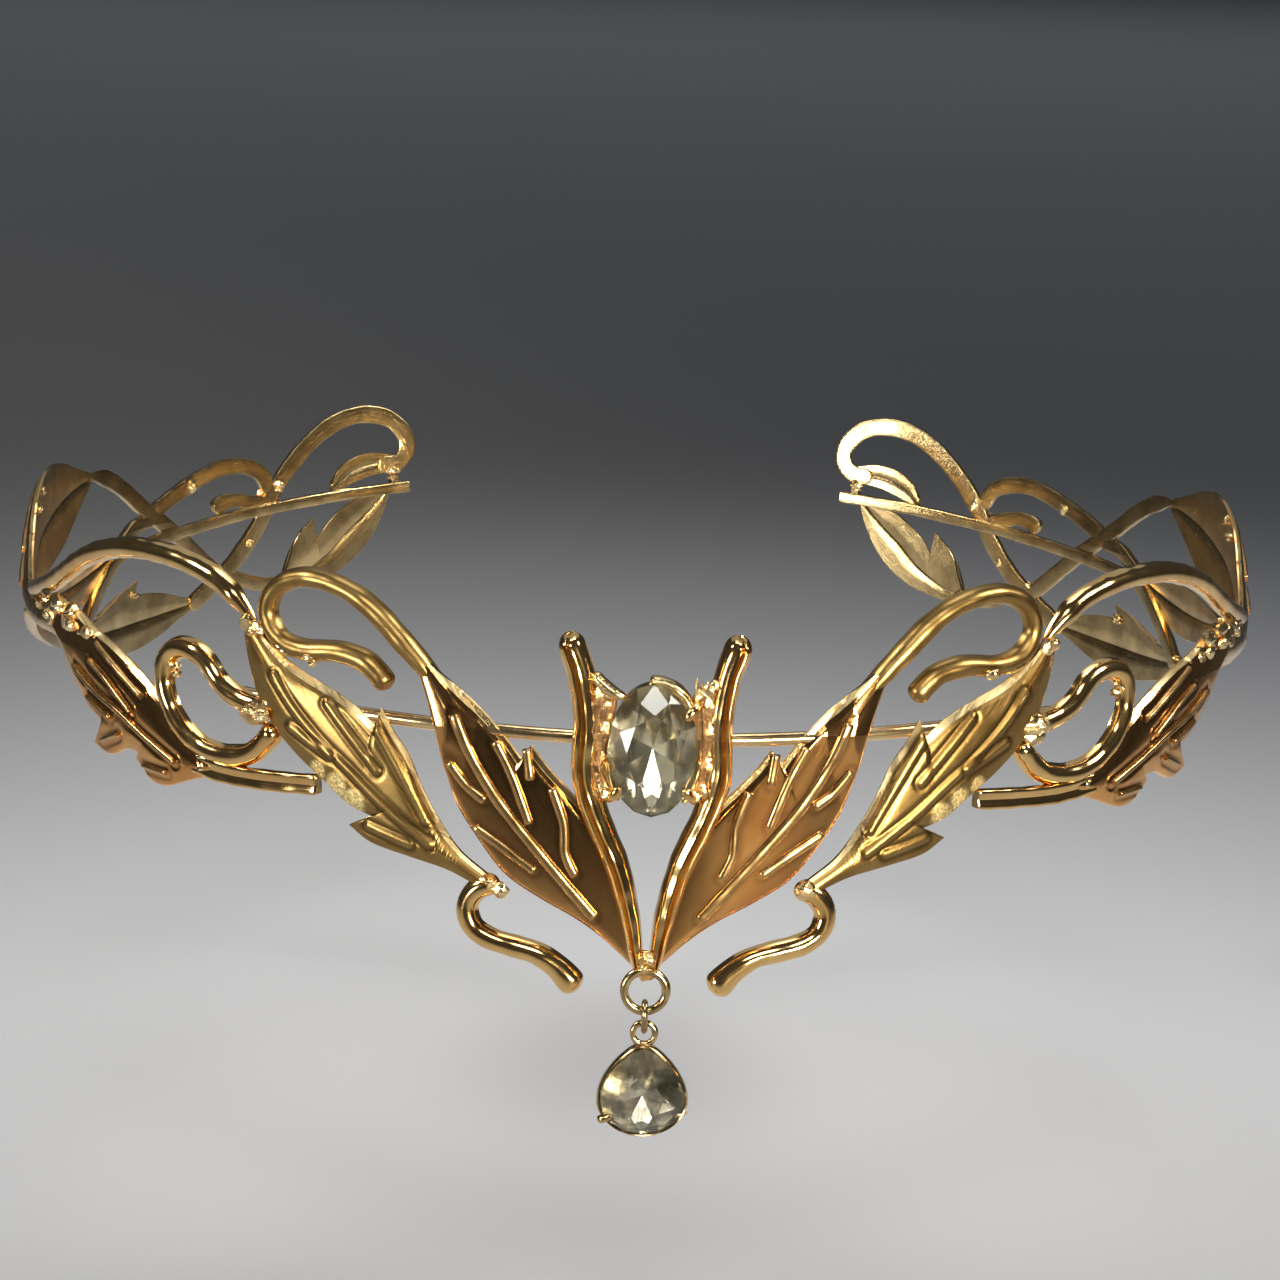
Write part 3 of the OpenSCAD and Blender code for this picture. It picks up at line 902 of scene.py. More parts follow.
    def surface(self, place: Place, front: int, back: int, laid: int, rim: int) -> list[Patch]:
        """Blade with its veins: the halves' sections joined into a loop round each rung.

        Args:
            place: Turns (u, v, w) into (x, y, z).
            front: Finish number of the front and the edge.
            back: Finish number of the back.
            laid: Finish number of veins that are laid on.
            rim: Finish number of the turn at the upper edge, a paler gold that is a painted
                highlight.

        Returns:
            The blade's surface and one for each vein that is laid on it.
        """
        low, spine, high = self.rungs()
        upper, lower = self.half(spine, high, self.bevel), self.half(spine, low, self.brim)
        middle = np.concatenate([spine, 0 * spine[:, :1] + 0.15], 1)[:, None]
        loop = np.concatenate([upper, middle, lower[:, ::-1][:, :-1]], 1)
        fronts = loop[..., 2] > self.front_share * self.thick
        lines = [curve(v) for v in self.veins]
        tone = self.work(loop, fronts, lines)
        # A dark line painted along the shallow groove behind the midrib: painted shade.
        tone[:, upper.shape[1], 0] = 0.9
        top = loop[..., 2].copy()
        places = place(loop[..., 0], loop[..., 1], loop[..., 2] + self.lift)
        share = fronts.mean(0)
        outward = (share + np.roll(share, -1)) / 2 > 0.25
        numbers = np.where(outward, front, back)
        # The upper rim strips get the paler rim gold: a painted highlight.
        numbers[self.columns + self.worn[0] : self.columns + self.worn[1]] = rim
        run = travelled(spine)[:, None] + 0 * loop[..., 0]
        across = np.linalg.norm(loop[..., :2] - spine[:, None], axis=-1)
        across[:, upper.shape[1] :] *= -1
        blade = skin(places, numbers, grid(run, across), tone)
        if self.carved:
            return [blade]
        veins = [self.ridge(line, loop, top, k == 0) for k, line in enumerate(lines)]
        return [blade, *(vein.surface(place, k, laid, laid) for k, vein in enumerate(veins))]

    def ridge(self, line: Array, loop: Array, top: Array, midrib: bool) -> Rod:
        """Vein that lies on the blade's front.

        Args:
            line: The vein's curve.
            loop: The blade's corners, as (u, v, w).
            top: The blade's height at each corner.
            midrib: Whether it is the main vein, which is wider.

        Returns:
            The vein as a rod sunk a little into the blade.
        """
        fronts = top > self.front_share * self.thick
        gap = ((line[:, None, :2] - loop[fronts][:, :2]) ** 2).sum(-1)
        under = top[fronts][gap.argmin(1)]
        sunk, reach = 0.3, 8
        window = np.full(2 * reach + 1, 1 / (2 * reach + 1))
        calm = np.convolve(np.pad(under, reach, mode="edge"), window, mode="valid")
        wide = np.full(len(line), self.vein[0] * (1.15 if midrib else 1))
        lift = self.lift + calm - sunk
        route = np.column_stack([line[:, :2], wide, lift])[::reach]
        return Rod(route, self.vein[1] + sunk, Section.LOW, End.CUT, End.CUT, 0.04, 0.5, 16)


def lump(centre: Point, size: Point, seed: int, place: Place) -> Patch:
    """Crumpled lump of solder.

    In each direction n the lump reaches to the nearest of a set of planes, d / (n . p),
    but no further than 1.1, and is then stretched to its size.

    Args:
        centre: Its middle, (u, v, w).
        size: Half of its length, height and depth.
        seed: Number that settles its planes.
        place: Turns (u, v, w) into (x, y, z).

    Returns:
        The closed surface.
    """
    draw = np.random.default_rng(seed)
    sides, flats, pole = 18, 15, 0.16
    planes = draw.normal(size=(flats, 3))
    planes /= np.linalg.norm(planes, axis=1)[:, None]
    depth = draw.uniform(0.62, 0.95, flats)
    polar = np.linspace(pole, np.pi - pole, 11)[:, None]
    around = full_turn(sides)[None, :]
    ways = grid(np.sin(polar) * np.cos(around), np.sin(polar) * np.sin(around), np.cos(polar))
    reach = np.minimum((depth / np.maximum(ways @ planes.T, 0.05)).min(-1), 1.1)
    local = ways * reach[..., None] * np.array(size) + np.array(centre)
    return skin(place(*np.moveaxis(local, -1, 0)), np.zeros(sides, int), grid(polar * 2, around))


def hoop(centre: Point, half: tuple[float, float], wire: float, sideways: bool) -> Patch:
    """Ring of round wire: an oval of angle a carries a circle of angle b.

    Args:
        centre: Middle of the ring, (x, y, z).
        half: Half of its width and height, to the middle of the wire.
        wire: Diameter of the wire.
        sideways: Whether it faces sideways rather than forwards.

    Returns:
        The closed surface.
    """
    sides = 16
    a, b = full_turn(64)[:, None], full_turn(sides)[None, :]
    thick = wire / 2 * (1 + 0.04 * np.sin(3 * a + 1) + 0.03 * np.sin(7 * a))
    across = (half[0] + thick * np.cos(b)) * np.cos(a)
    high = (half[1] + thick * np.cos(b)) * np.sin(a)
    deep = thick * np.sin(b)
    local = (deep, across, high) if sideways else (across, deep, high)
    rings = grid(*local) + np.array(centre)
    return skin(rings, np.zeros(sides, int), grid(a * half[0], b * wire / 2), hoop=True)


def flat_route(rows: Rows, wide: float, lift: float = -0.2) -> Rows:
    """Route with the same width and lift all along."""
    return tuple((*row[:2], wide, lift) for row in rows)


def swelling_route(rows: Rows, wide: float, bulb: float, lift: float = -0.2) -> Rows:
    """Route of even width whose last two rows swell to a bulb."""
    widths = [wide] * (len(rows) - 2) + [(wide + bulb) / 2, bulb]
    return tuple((*row[:2], width, lift) for row, width in zip(rows, widths))


# Routes of the right-hand half: (u, v, width, lift), or (u, v) where a helper adds the rest.
TWIG = (
    (9.3, 11.3, 2.8, 1.3), (8.7, 9.4, 3.0, 1.2), (7.8, 6.6, 3.0, 1.2), (7.1, 1.6, 2.9, 1.2),
    (7.2, -3.7, 2.9, 1.2), (5.8, -8.5, 2.9, 1.0), (3.4, -14, 2.7, 0.8), (1.9, -19.5, 2.3, 0.6),
    (1.2, -23.4, 1.7, 0.4), (0.8, -25.8, 1.2, 0.3),
)
UPPER_HOOK = (
    (23.2, 3.4, 1.8, -0.8), (24.8, 5.2, 2.1, -0.5), (26.6, 7.1, 2.4, -0.3), (28.4, 8.8, 2.6, -0.2),
    (30.9, 11.1, 2.6, -0.2), (33.6, 12.9, 2.4, -0.2), (36.7, 14, 2.3, -0.2), (40, 14.3, 2.3, -0.2),
    (42.8, 13.6, 2.3, -0.2), (44.7, 12, 2.3, -0.2), (45.3, 9.9, 2.4, -0.2), (44.3, 7.8, 2.4, -0.2),
    (42.3, 6.6, 2.4, -0.2), (39.7, 6.3, 2.4, -0.2), (36.1, 6.6, 2.5, -0.2), (33, 6.1, 2.6, -0.2),
    (31.2, 5, 2.7, -0.2), (29.6, 3.3, 2.9, -0.2),
)
LONG_TENDRIL = (
    (46.4, 6.2), (47.6, 8.4), (50, 10.8), (53, 12.5), (58, 13.7), (63, 14), (69, 13.6), (75, 12.3),
    (80, 10.6), (85, 8.3), (90, 6.2), (95, 4.6), (101, 3), (108, 2),
)
HOOK_BRIDGE = ((46.6, 7.4), (43, 6.2), (39, 5))
LOWER_HOOK = (
    (16.4, -16.7), (18.8, -17.7), (20, -19.6), (19.4, -21.8), (17.4, -23.1),
    (14.5, -23.8), (12, -24.4), (9.7, -25.8), (7.4, -28.2),
)
SCROLL = (
    (45.4, -0.9), (48, -0.7), (50.6, 0), (52.6, 1.2), (54.2, 2.8), (56.4, 3.8),
    (59.2, 3.8), (61.3, 2.2), (61.6, -0.7), (60.2, -3.6), (57.6, -5.8),
    (54.5, -7), (51.1, -7.2), (47.8, -6.4), (45.6, -4.6), (44, -2.6),
)
CUT_ROD = ((38, -8.3), (43, -8.7), (48, -9), (52, -9), (56, -8.6))
SIDE_STEM = ((84, 1.4), (90, 1), (98, 0.4), (106, 0.2))
HIGH_TENDRIL = (
    (144, 9.4), (148, 9), (152, 7.8), (156, 5.8), (160, 3.2),
    (164.5, 0.4), (168.5, -2.2), (172.6, -5.4), (177.4, -9.2),
)
BACK_LOOP = (
    (171.4, -13), (175.2, -11), (179.4, -8.6), (182.8, -5.7), (185.6, -2.5),
    (187.5, 0.8), (190.5, 4.6), (194.6, 8.4), (199, 11), (203.6, 12),
    (208, 11.2), (210.9, 8.6), (211.1, 6), (209.3, 4.4), (206.6, 4.4),
)
BACK_ARC = (
    (187.2, 2), (185.8, 4.5), (182.5, 6), (178.3, 6.3), (173.3, 5.2), (168.3, 3.6), (163.4, 1.8),
)
SMALL_HOOK = ((186.4, 0.2), (183, 0.9), (180.2, 1.4), (178.2, 1.2), (176.4, 0.4))
SHORT_ROD = ((163, 0.8), (159, 0.4), (154, -2.4))
INNER_ROD = ((156.4, -1.6), (151, -4.6), (146, -8.4), (141.4, -12.4))
END_STEM = ((191.6, -11.6), (186, -11.6), (179, -9.4))
LOW_STEM = ((106, -0.6), (114, -3.6), (124, -7.4), (134, -10.6), (143, -12.2))
FRONT_WIRE = ((-50, 0.1), (-34, 0), (-17, -0.3), (0, -0.5), (17, -0.4), (34, -0.1), (50, 0))
BACK_BAR = (
    (211.4, 1), (204, 0.6), (196, 0.1), (188, -0.4),
    (180, -0.9), (171, -1.6), (162, -2.2), (154, -2.8),
)
BACK_POST = ((209.2, 0.4, 1.3, -0.9), (209.2, 2.2, 1.2, -0.6), (209, 4, 1.5, -0.2))

TENDRILS: dict[str, Rod] = {
    "upper_hook": Rod(UPPER_HOOK),
    "long_tendril": Rod(flat_route(LONG_TENDRIL, 2.5), start=End.POINT, finish=End.POINT),
    "lower_hook": Rod(swelling_route(LOWER_HOOK, 2.5, 3.3, 0.0)),
    "scroll": Rod(flat_route(SCROLL, 2.6)),
    "hook_bridge": Rod(flat_route(HOOK_BRIDGE, 1.4), start=End.POINT, finish=End.POINT),
    "cut_rod": Rod(flat_route(CUT_ROD, 2.2, 0.0), 1.3, Section.GROOVED, End.CUT, End.CUT, sides=40),
    "side_stem": Rod(flat_route(SIDE_STEM, 3.0)),
    "high_tendril": Rod(flat_route(HIGH_TENDRIL, 2.3), start=End.POINT),
    "back_loop": Rod(flat_route(BACK_LOOP, 2.5)),
    "back_arc": Rod(flat_route(BACK_ARC, 2.3)),
    "small_hook": Rod(swelling_route(SMALL_HOOK, 2.0, 2.6)),
    "short_rod": Rod(flat_route(SHORT_ROD, 2.0)),
    "inner_rod": Rod(flat_route(INNER_ROD, 2.0, -0.6)),
    "end_stem": Rod(flat_route(END_STEM, 2.0)),
    "low_stem": Rod(flat_route(LOW_STEM, 2.2)),
}

LEAVES: dict[str, Leaf] = {
    "inner_leaf": Leaf(
        spine=(
            (1.2, -24.9), (3.5, -22.3), (6, -20), (12, -13.2),
            (16.7, -7.8), (20, -2.8), (22.4, 1.6), (25.2, 6.2),
        ),
        low=(
            (
                (1.4, -25.4), (4.5, -22.6), (7.7, -20.4), (12, -18.2), (15.9, -15.8), (18.9, -12.3),
                (21.4, -8.7), (22.7, -5.4), (23.7, -2), (24.7, 1.6), (25.7, 4.6), (26.2, 6),
            ),
        ),
        high=(
            (
                (0.9, -24.4), (1.6, -20.6), (3.2, -15), (5.4, -10), (7.2, -7.8), (8.8, -6.2),
                (11.2, -3.8), (13.2, -1.4),
            ),
            ((13.2, -1.4), (13.9, -2.4), (14.3, -3)),
            ((14.3, -3), (16, -0.8), (18.4, 1.7), (21, 3.9), (23.4, 5.6), (24.6, 6.6)),
        ),
        veins=(
            ((21.7, 1.4), (20, -2.8), (16.7, -7.8), (12, -13.2), (5.8, -20)),
            ((17.2, -1.3), (15.2, -5), (13.2, -10)),
            ((13.7, -1.9), (13.2, -5.2)),
            ((10.8, -6), (9.4, -9.8), (9.2, -13), (8, -15.5)),
            ((22.2, -4), (20.3, -6.4), (18.2, -7.8)),
            ((19.3, -10.9), (16.1, -12.8), (12.5, -15.2)),
        ),
        bevel=(1.4, 0.9, 1.95),
        brim=(0.5, 0.6, 1.2),
        swell=0.15,
        facet=(
            (23.4, -3.8), (22.9, -2.2), (22.5, -1.5), (22.3, 0.2), (22.6, 1.9),
            (22.2, 2.8), (22.2, 4.2), (23.6, 5.6), (25.2, 7.6),
        ),
    ),
    "outer_leaf": Leaf(
        spine=(
            (18.2, -16.9), (24.5, -13), (29.5, -9.4), (33.5, -6.2),
            (37.5, -3.2), (41, 0), (43.5, 3), (47.6, 8),
        ),
        low=(
            (
                (17.8, -17.6), (19.8, -16.8), (22.8, -15.7), (27, -14.8), (31.4, -13.8),
                (34.1, -12.2),
            ),
            ((34.1, -12.2), (32.4, -11.4), (31, -11)),
            (
                (31, -11), (34.2, -9.9), (37.5, -7.6), (40.8, -5.4), (43.6, -3),
                (46, 0), (47.4, 3.3), (48.2, 6.4), (48.2, 8.2),
            ),
        ),
        high=(
            (
                (17.6, -16), (21, -13.5), (23.5, -10.3), (25.5, -7), (27.2, -3.5), (29, -1.2),
                (30.5, 1.2),
            ),
            ((30.5, 1.2), (31, 0), (31.3, -0.9)),
            ((31.3, -0.9), (34, 1.2), (37.5, 2.8), (41, 4.2), (44.5, 6.2), (47, 8.6)),
        ),
        veins=(
            ((43.7, 3.2), (41, 0), (37.5, -3.2), (33.5, -6.2), (29.5, -9.4), (24.2, -13)),
            ((36.8, 1), (33.9, -2), (30.4, -5.6)),
            ((41.4, -2.2), (36.3, -4.7)),
            ((30.5, -1.2), (27.2, -6.2), (24.5, -10.5)),
            ((31.4, -11.9), (26.5, -13.3)),
        ),
        groove=0.09,
        vein=(0.8, 0.14),
        carved=True,
        beside=0.72,
        shade=0.9,
        bevel=(1.1, 0.8, 1.95),
        raw=((33.4, -9.6, 1.5), (35.6, -8, 1.4), (38, -6.6, 1.1)),
        step=0.2,
        columns=32,
    ),
    "side_leaf": Leaf(
        spine=(
            (53, -8.6), (59, -9), (64.5, -7), (69, -5.2), (74, -4), (79, -2.6), (84, 0), (89.4, 2),
        ),
        low=(
            ((53, -9.7), (56.6, -10.9), (61, -12.4), (64, -12), (66.4, -10.3)),
            ((66.4, -10.3), (65.4, -9.6)),
            ((65.4, -9.6), (68.4, -9.6), (72, -11), (75.7, -10.5)),
            ((75.7, -10.5), (74.6, -8.8), (74, -7.6)),
            ((74, -7.6), (77.5, -6.4), (81.6, -4.2), (86, -1.2), (89.2, 0.6)),
        ),
        high=(
            (
                (53, -7.4), (57.5, -5.6), (63, -1.8), (69.5, 1.2),
                (76, 2.8), (82.6, 4.5), (86.8, 4.2), (90, 3),
            ),
        ),
        veins=(
            ((80, -2), (74, -4), (69, -5.2), (64, -7), (58.4, -9)),
            ((76, -0.6), (71.5, -2.2), (66.6, -4.8)),
            ((75, 1.6), (70, -0.4), (65, -2.6)),
            ((76.6, -5), (71, -6.4)),
            ((64.6, -10.6), (60, -10.6)),
            ((73.4, -9.6), (69.4, -8)),
        ),
        groove=0.15,
        vein=(0.6, 0.42),
    ),
    "tall_leaf": Leaf(
        spine=(
            (100, 0.4), (107, 0.6), (113, 1.6), (121, 4.4),
            (129, 6.2), (136, 7.6), (141, 8.4), (146.4, 9),
        ),
        low=(
            (
                (100, -0.8), (107, -1.4), (114, -1.6), (121, -1.2),
                (129, -0.2), (136, 1.6), (141, 4.6), (146, 8.2),
            ),
        ),
        high=(
            (
                (100, 1.6), (107, 2.4), (114, 5.6), (121, 10.6),
                (129, 13.1), (136, 12.6), (141, 11.2), (146, 9.8),
            ),
        ),
        veins=(
            ((141, 8.4), (136, 7.5), (129, 6), (121, 4), (112, 1.4)),
            ((136, 11), (130, 9.6), (124, 6.8)),
            ((128, 11), (122, 8), (117, 4.6)),
            ((137, 4), (131, 3.4), (125, 3.2)),
            ((128, 1.4), (122, 0.8), (116, 0.8)),
        ),
        groove=0.15,
    ),
    "hidden_leaf": Leaf(
        spine=(
            (126, -3.2), (131, -4.2), (136.4, -4.6), (142.4, -4.4),
            (148.4, -3.6), (153.4, -2.4), (157, -1.6),
        ),
        low=(
            ((126, -4), (131, -6.4), (136, -7.8), (142, -8), (148, -6.4), (153, -3.8), (157, -2)),
        ),
        high=(
            ((126, -2.4), (131, -2), (137, -1.4), (143, -1), (149, -0.8), (154, -1.2), (157, -1.2)),
        ),
        veins=(((152, -2.6), (142, -4.4), (131, -4.2)),),
        thick=0.9,
    ),
    "low_leaf": Leaf(
        spine=(
            (142, -12.2), (148, -12.8), (154, -13.1), (160, -13.1),
            (165, -13), (169, -12.8), (173, -12.6),
        ),
        low=(
            (
                (142, -13.2), (147, -15.4), (153, -16.8), (159, -17),
                (164.6, -16), (169, -14.4), (173, -13.2),
            ),
        ),
        high=(
            ((142, -11.2), (148, -10.6), (151.6, -9.6), (155, -8.4), (159.3, -7.3)),
            ((159.3, -7.3), (158.6, -8.6), (158, -9.6)),
            ((158, -9.6), (161, -9.4), (165.4, -10), (169.6, -11.2), (173, -12)),
        ),
        veins=(
            ((168, -12.8), (160, -13.1), (154, -13.1), (147, -12.8)),
            ((161.4, -10.8), (154.6, -12)),
            ((161.6, -15.2), (154.6, -14.6)),
            ((156.6, -9.2), (150.6, -11.2)),
        ),
    ),
    "end_leaf": Leaf(
        spine=(
            (190.4, -11.6), (194, -10.6), (198.4, -8.2), (201.4, -5.4), (204.4, -3), (206.8, -0.8),
            (207.9, 0.5),
        ),
        low=(
            (
                (190, -12.8), (195, -12.4), (200, -11), (203.6, -8.6),
                (206.2, -5.4), (208, -1.6), (208.4, 0.4),
            ),
        ),
        high=(
            ((190.4, -10.6), (191.2, -8.6), (192.4, -5.6), (195.5, -2.7)),
            ((195.5, -2.7), (195.6, -4.6), (195.9, -6.4)),
            (
                (195.9, -6.4), (197.4, -4.4), (199.6, -2.4), (202.6, -0.6), (205.6, 0.2),
                (207.4, 0.6),
            ),
        ),
        veins=(
            ((206, -1.8), (201.4, -5.4), (198.4, -8.2), (194, -10.6)),
            ((203.4, -6.4), (199, -9.4)),
            ((200.4, -3.8), (197.6, -7.2)),
            ((194.6, -4.6), (192.8, -8.8)),
        ),
    ),
    "loop_leaf": Leaf(
        spine=((209, 4.5), (206, 4.5), (203, 3.9), (200.6, 2.7), (198.8, 1)),
        low=(((208.8, 3.2), (205.6, 2.8), (202.8, 2), (200.6, 1.2), (198.8, 0.6)),),
        high=(((208.8, 5.8), (205.6, 6.2), (202.4, 5.6), (199.8, 4), (198.6, 1.8)),),
        veins=(((207, 4.5), (203, 3.8), (200.6, 2.6)),),
        thick=1.0,
        swell=0.3,
        vein=(0.8, 0.3),
    ),
}

SATIN = ("outer_leaf", "loop_leaf", "upper_hook")


@dataclass(frozen=True)
class Finishes:
    """All the finishes of the crown.

    Attributes:
        plate: Leaves, polished until they mirror the room.
        polished: Tendrils, twigs and the stone's collar.
        satin: Castings that were left duller.
        cast: Veins that are laid on.
        worn: Upper rims of the leaves, in a paler gold that is a painted highlight.
        brushed: Backs of the castings, and the flat bars.
        solder: Solder at the joints.
        pitted: Rough walls beside the stone.
        wire: The front wire.
        toned: Ring, link and setting of the drop.
        crystal: The centre stone.
        smoky: The drop's stone.
        foil: Foil behind the centre stone.
        dark_foil: Foil behind the drop's stone.
    """

    plate: Gold = Gold(
        "mirror_plating", (0.95, 0.53, 0.19, 1), (0.75, 0.355, 0.115, 1), (0.08, 0.15), 7,
        (4, 0.008), (0.3, 0.003), (0.5, 0.002), 0.13,
    )
    polished: Gold = Gold(
        "polished_plating", (0.94, 0.64, 0.26, 1), (0.78, 0.46, 0.17, 1), (0.08, 0.18), 6,
        (3.2, 0.01), (0.35, 0.004), (0.5, 0.002),
    )
    satin: Gold = Gold(
        "satin_plating", (0.41, 0.265, 0.09, 1), (0.28, 0.17, 0.055, 1), (0.26, 0.4), 5,
        (2.4, 0.015), (0.25, 0.006), (0.35, 0.006),
    )
    cast: Gold = Gold(
        "cast_veins", (0.7, 0.44, 0.18, 1), (0.46, 0.28, 0.11, 1), (0.2, 0.3), 2,
        (1.6, 0.008), (0.2, 0.003), (0.3, 0.003), 0.12,
    )
    # Paler gold of the leaves' upper rims: a painted highlight.
    worn: Gold = Gold(
        "painted_highlight_rims", (1.0, 0.8, 0.42, 1), (0.88, 0.64, 0.3, 1), (0.24, 0.4), 3,
        (1.2, 0.015), (0.3, 0.004), (0.3, 0.006), 0.12,
    )
    brushed: Gold = Gold(
        "brushed_back", (0.68, 0.5, 0.24, 1), (0.36, 0.255, 0.115, 1), (0.15, 0.28), 4,
        (2.5, 0.02), (0.2, 0.014), (0.3, 0.012), 0.12,
    )
    solder: Gold = Gold(
        "solder", (0.97, 0.77, 0.4, 1), (0.76, 0.5, 0.22, 1), (0.12, 0.3), 1.6,
        (0.9, 0.02), (0.4, 0.004), (0.3, 0.01),
    )
    pitted: Gold = Gold(
        "pitted_walls", (0.66, 0.4, 0.18, 1), (0.27, 0.14, 0.06, 1), (0.22, 0.38), 1.2,
        (1.0, 0.09), (0.3, 0.01), (0.4, 0.12),
    )
    wire: Gold = Gold(
        "drawn_wire", (0.96, 0.72, 0.38, 1), (0.82, 0.52, 0.24, 1), (0.14, 0.24), 5,
        (4, 0.01), (0.2, 0.004), (0.4, 0.002),
    )
    toned: Gold = Gold(
        "toned_wire", (0.72, 0.53, 0.26, 1), (0.36, 0.25, 0.12, 1), (0.12, 0.24), 2,
        (2, 0.01), (0.2, 0.004), (0.4, 0.002),
    )
    crystal: Crystal = Crystal("centre_crystal", (0.99, 0.96, 0.86, 1), (0.93, 0.89, 0.76, 1))
    smoky: Crystal = Crystal("drop_crystal", (0.97, 0.95, 0.84, 1), (0.88, 0.86, 0.76, 1))
    foil: Foil = Foil("stone_foil", (0.98, 0.94, 0.78, 1), (0.84, 0.78, 0.58, 1))
    dark_foil: Foil = Foil("drop_foil", (0.96, 0.92, 0.8, 1), (0.36, 0.33, 0.25, 1))


@dataclass
class Workshop:
    """Makes each finish once and hangs each piece on its body.

    Attributes:
        finishes: The finishes to choose from.
        made: Materials made so far, by name.
    """

    finishes: Finishes = field(default_factory=Finishes)
    made: dict[str, bpy.types.Material] = field(default_factory=dict)

    def finish(self, *kinds: Gold | Crystal | Foil) -> list[bpy.types.Material]:
        """Materials of the given finishes, made on first use.

        Args:
            *kinds: The finishes.

        Returns:
            A material for each.
        """
        for kind in kinds:
            if kind.name not in self.made:
                self.made[kind.name] = kind.material()
        return [self.made[kind.name] for kind in kinds]

    def hang(self, piece: bpy.types.Object, body: str, node: str, slot: str) -> None:
        """Puts a piece on its body in place of its CAD node.

        Args:
            piece: The piece.
            body: Body that it rides on.
            node: CAD node that it stands for.
            slot: Material slot of the record; not used.
        """
        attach(piece, body)
        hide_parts(node)
        LOG.info("%s: %d faces on %s", piece.name, len(piece.data.polygons), body)

    def frame_piece(
        self, name: str, patches: list[Patch], kinds: list[Gold], sharp: float = SMOOTH_EDGE
    ) -> None:
        """Makes a piece of the crown's frame."""
        piece = make_piece(name, patches, self.finish(*kinds), sharp)
        self.hang(piece, "crown", "crown_frame", "gold_frame")


@dataclass
class Assembly:
    """Sub-assembly of the crown.

    Attributes:
        shop: Workshop that makes its pieces.
    """

    shop: Workshop


@dataclass
class Castings(Assembly):
    """Leaves, tendrils and twigs of both halves of the crown.

    Attributes:
        left_seed: What the left half adds to the seeds of the right half's rods.
    """

    left_seed: int = 7

    def build(self) -> None:
        """Makes every casting of both halves."""
        kinds = self.shop.finishes
        for side in Side:
            tail = side.name.lower()
            shift = self.left_seed if side is Side.LEFT else 0
            for number, (name, rod) in enumerate(TENDRILS.items()):
                patch = rod.surface(BAND.place, number + shift, 0, 1).mirrored(side)
                face = kinds.satin if name in SATIN else kinds.polished
                self.shop.frame_piece(f"{name}_{tail}", [patch], [face, kinds.brushed])
            for name, leaf in LEAVES.items():
                patches = [p.mirrored(side) for p in leaf.surface(BAND.place, 0, 1, 2, 3)]
                face = kinds.satin if name in SATIN else kinds.plate
                dress = [face, kinds.brushed, kinds.cast, kinds.worn]
                self.shop.frame_piece(f"{name}_{tail}", patches, dress)
            twig = Rod(TWIG, 2.4, Section.CHANNELLED, sides=56, mitre=0.3)
            patch = twig.surface(BAND.place, 3 + shift, 0, 1).mirrored(side)
            self.shop.frame_piece(f"front_twig_{tail}", [patch], [kinds.polished, kinds.brushed])


@dataclass
class Stiffeners(Assembly):
    """Plain wire behind the front and flat bars inside the back panels.

    Attributes:
        wire_d: Diameter of the wire.
        bar_high: Height of the bars.
        bar_deep: Their depth.
        sunk: How deep the wire is sunk into the castings.
    """

    wire_d: float = 1.5
    bar_high: float = 1.6
    bar_deep: float = 1.0
    sunk: float = 0.2

    def build(self) -> None:
        """Makes the wire, the two bars and their posts."""
        kinds = self.shop.finishes
        route = flat_route(FRONT_WIRE, self.wire_d, self.sunk - self.wire_d)
        wire = Rod(route, self.wire_d, Section.WIRE, hand=0.01, step=1.0)
        self.shop.frame_piece("front_wire", [wire.surface(BAND.place)], [kinds.wire])
        bar_route = flat_route(BACK_BAR, self.bar_high, -self.bar_deep)
        bar = Rod(bar_route, self.bar_deep, Section.BAR, End.CUT, End.CUT)
        post = Rod(BACK_POST, 1.2, Section.BAR, End.CUT, End.CUT, hand=0.1)
        for side in Side:
            patches = [rod.surface(BAND.place).mirrored(side) for rod in (bar, post)]
            self.shop.frame_piece(f"back_bar_{side.name.lower()}", patches, [kinds.brushed])


# Soldered joints of the right-hand half: (u, v, size, lift).
JOINTS: Rows = (
    (17, -17.2, 2.4, 1.0), (46.8, 8.4, 2.4, 1.0), (39, 5.6, 1.6, 1.0), (46, -1.3, 3.4, 1.0),
    (54.6, -8.4, 2.2, 0.8), (59.6, 1.5, 1.8, 0.6), (78.6, 2.6, 2.4, 0.8), (82, 3.2, 3.0, 0.9),
    (85.4, 3.6, 3.2, 0.9), (88.8, 2.8, 3.0, 0.8), (92, 3.4, 2.8, 0.6), (96, 2.6, 2.2, 0.6),
    (121, 9.2, 1.3, -0.2), (124.5, 10.8, 1.1, -0.2), (163.6, 1.2, 2.2, 0.6),
    (187.2, 1.2, 2.2, 0.8), (177.8, -9.2, 2.4, 0.8), (172.6, -12.8, 2.2, 0.8),
    (142, -12.2, 2.2, 0.4), (208.8, 2.8, 1.4, -0.2), (188.6, 2.4, 1.8, -0.2),
    (171.4, 4.4, 1.6, -0.2), (208.8, 3.4, 1.6, -0.7), (183.4, -5.4, 1.4, -0.2),
    (158.4, -9.2, 1.4, -0.2),
)


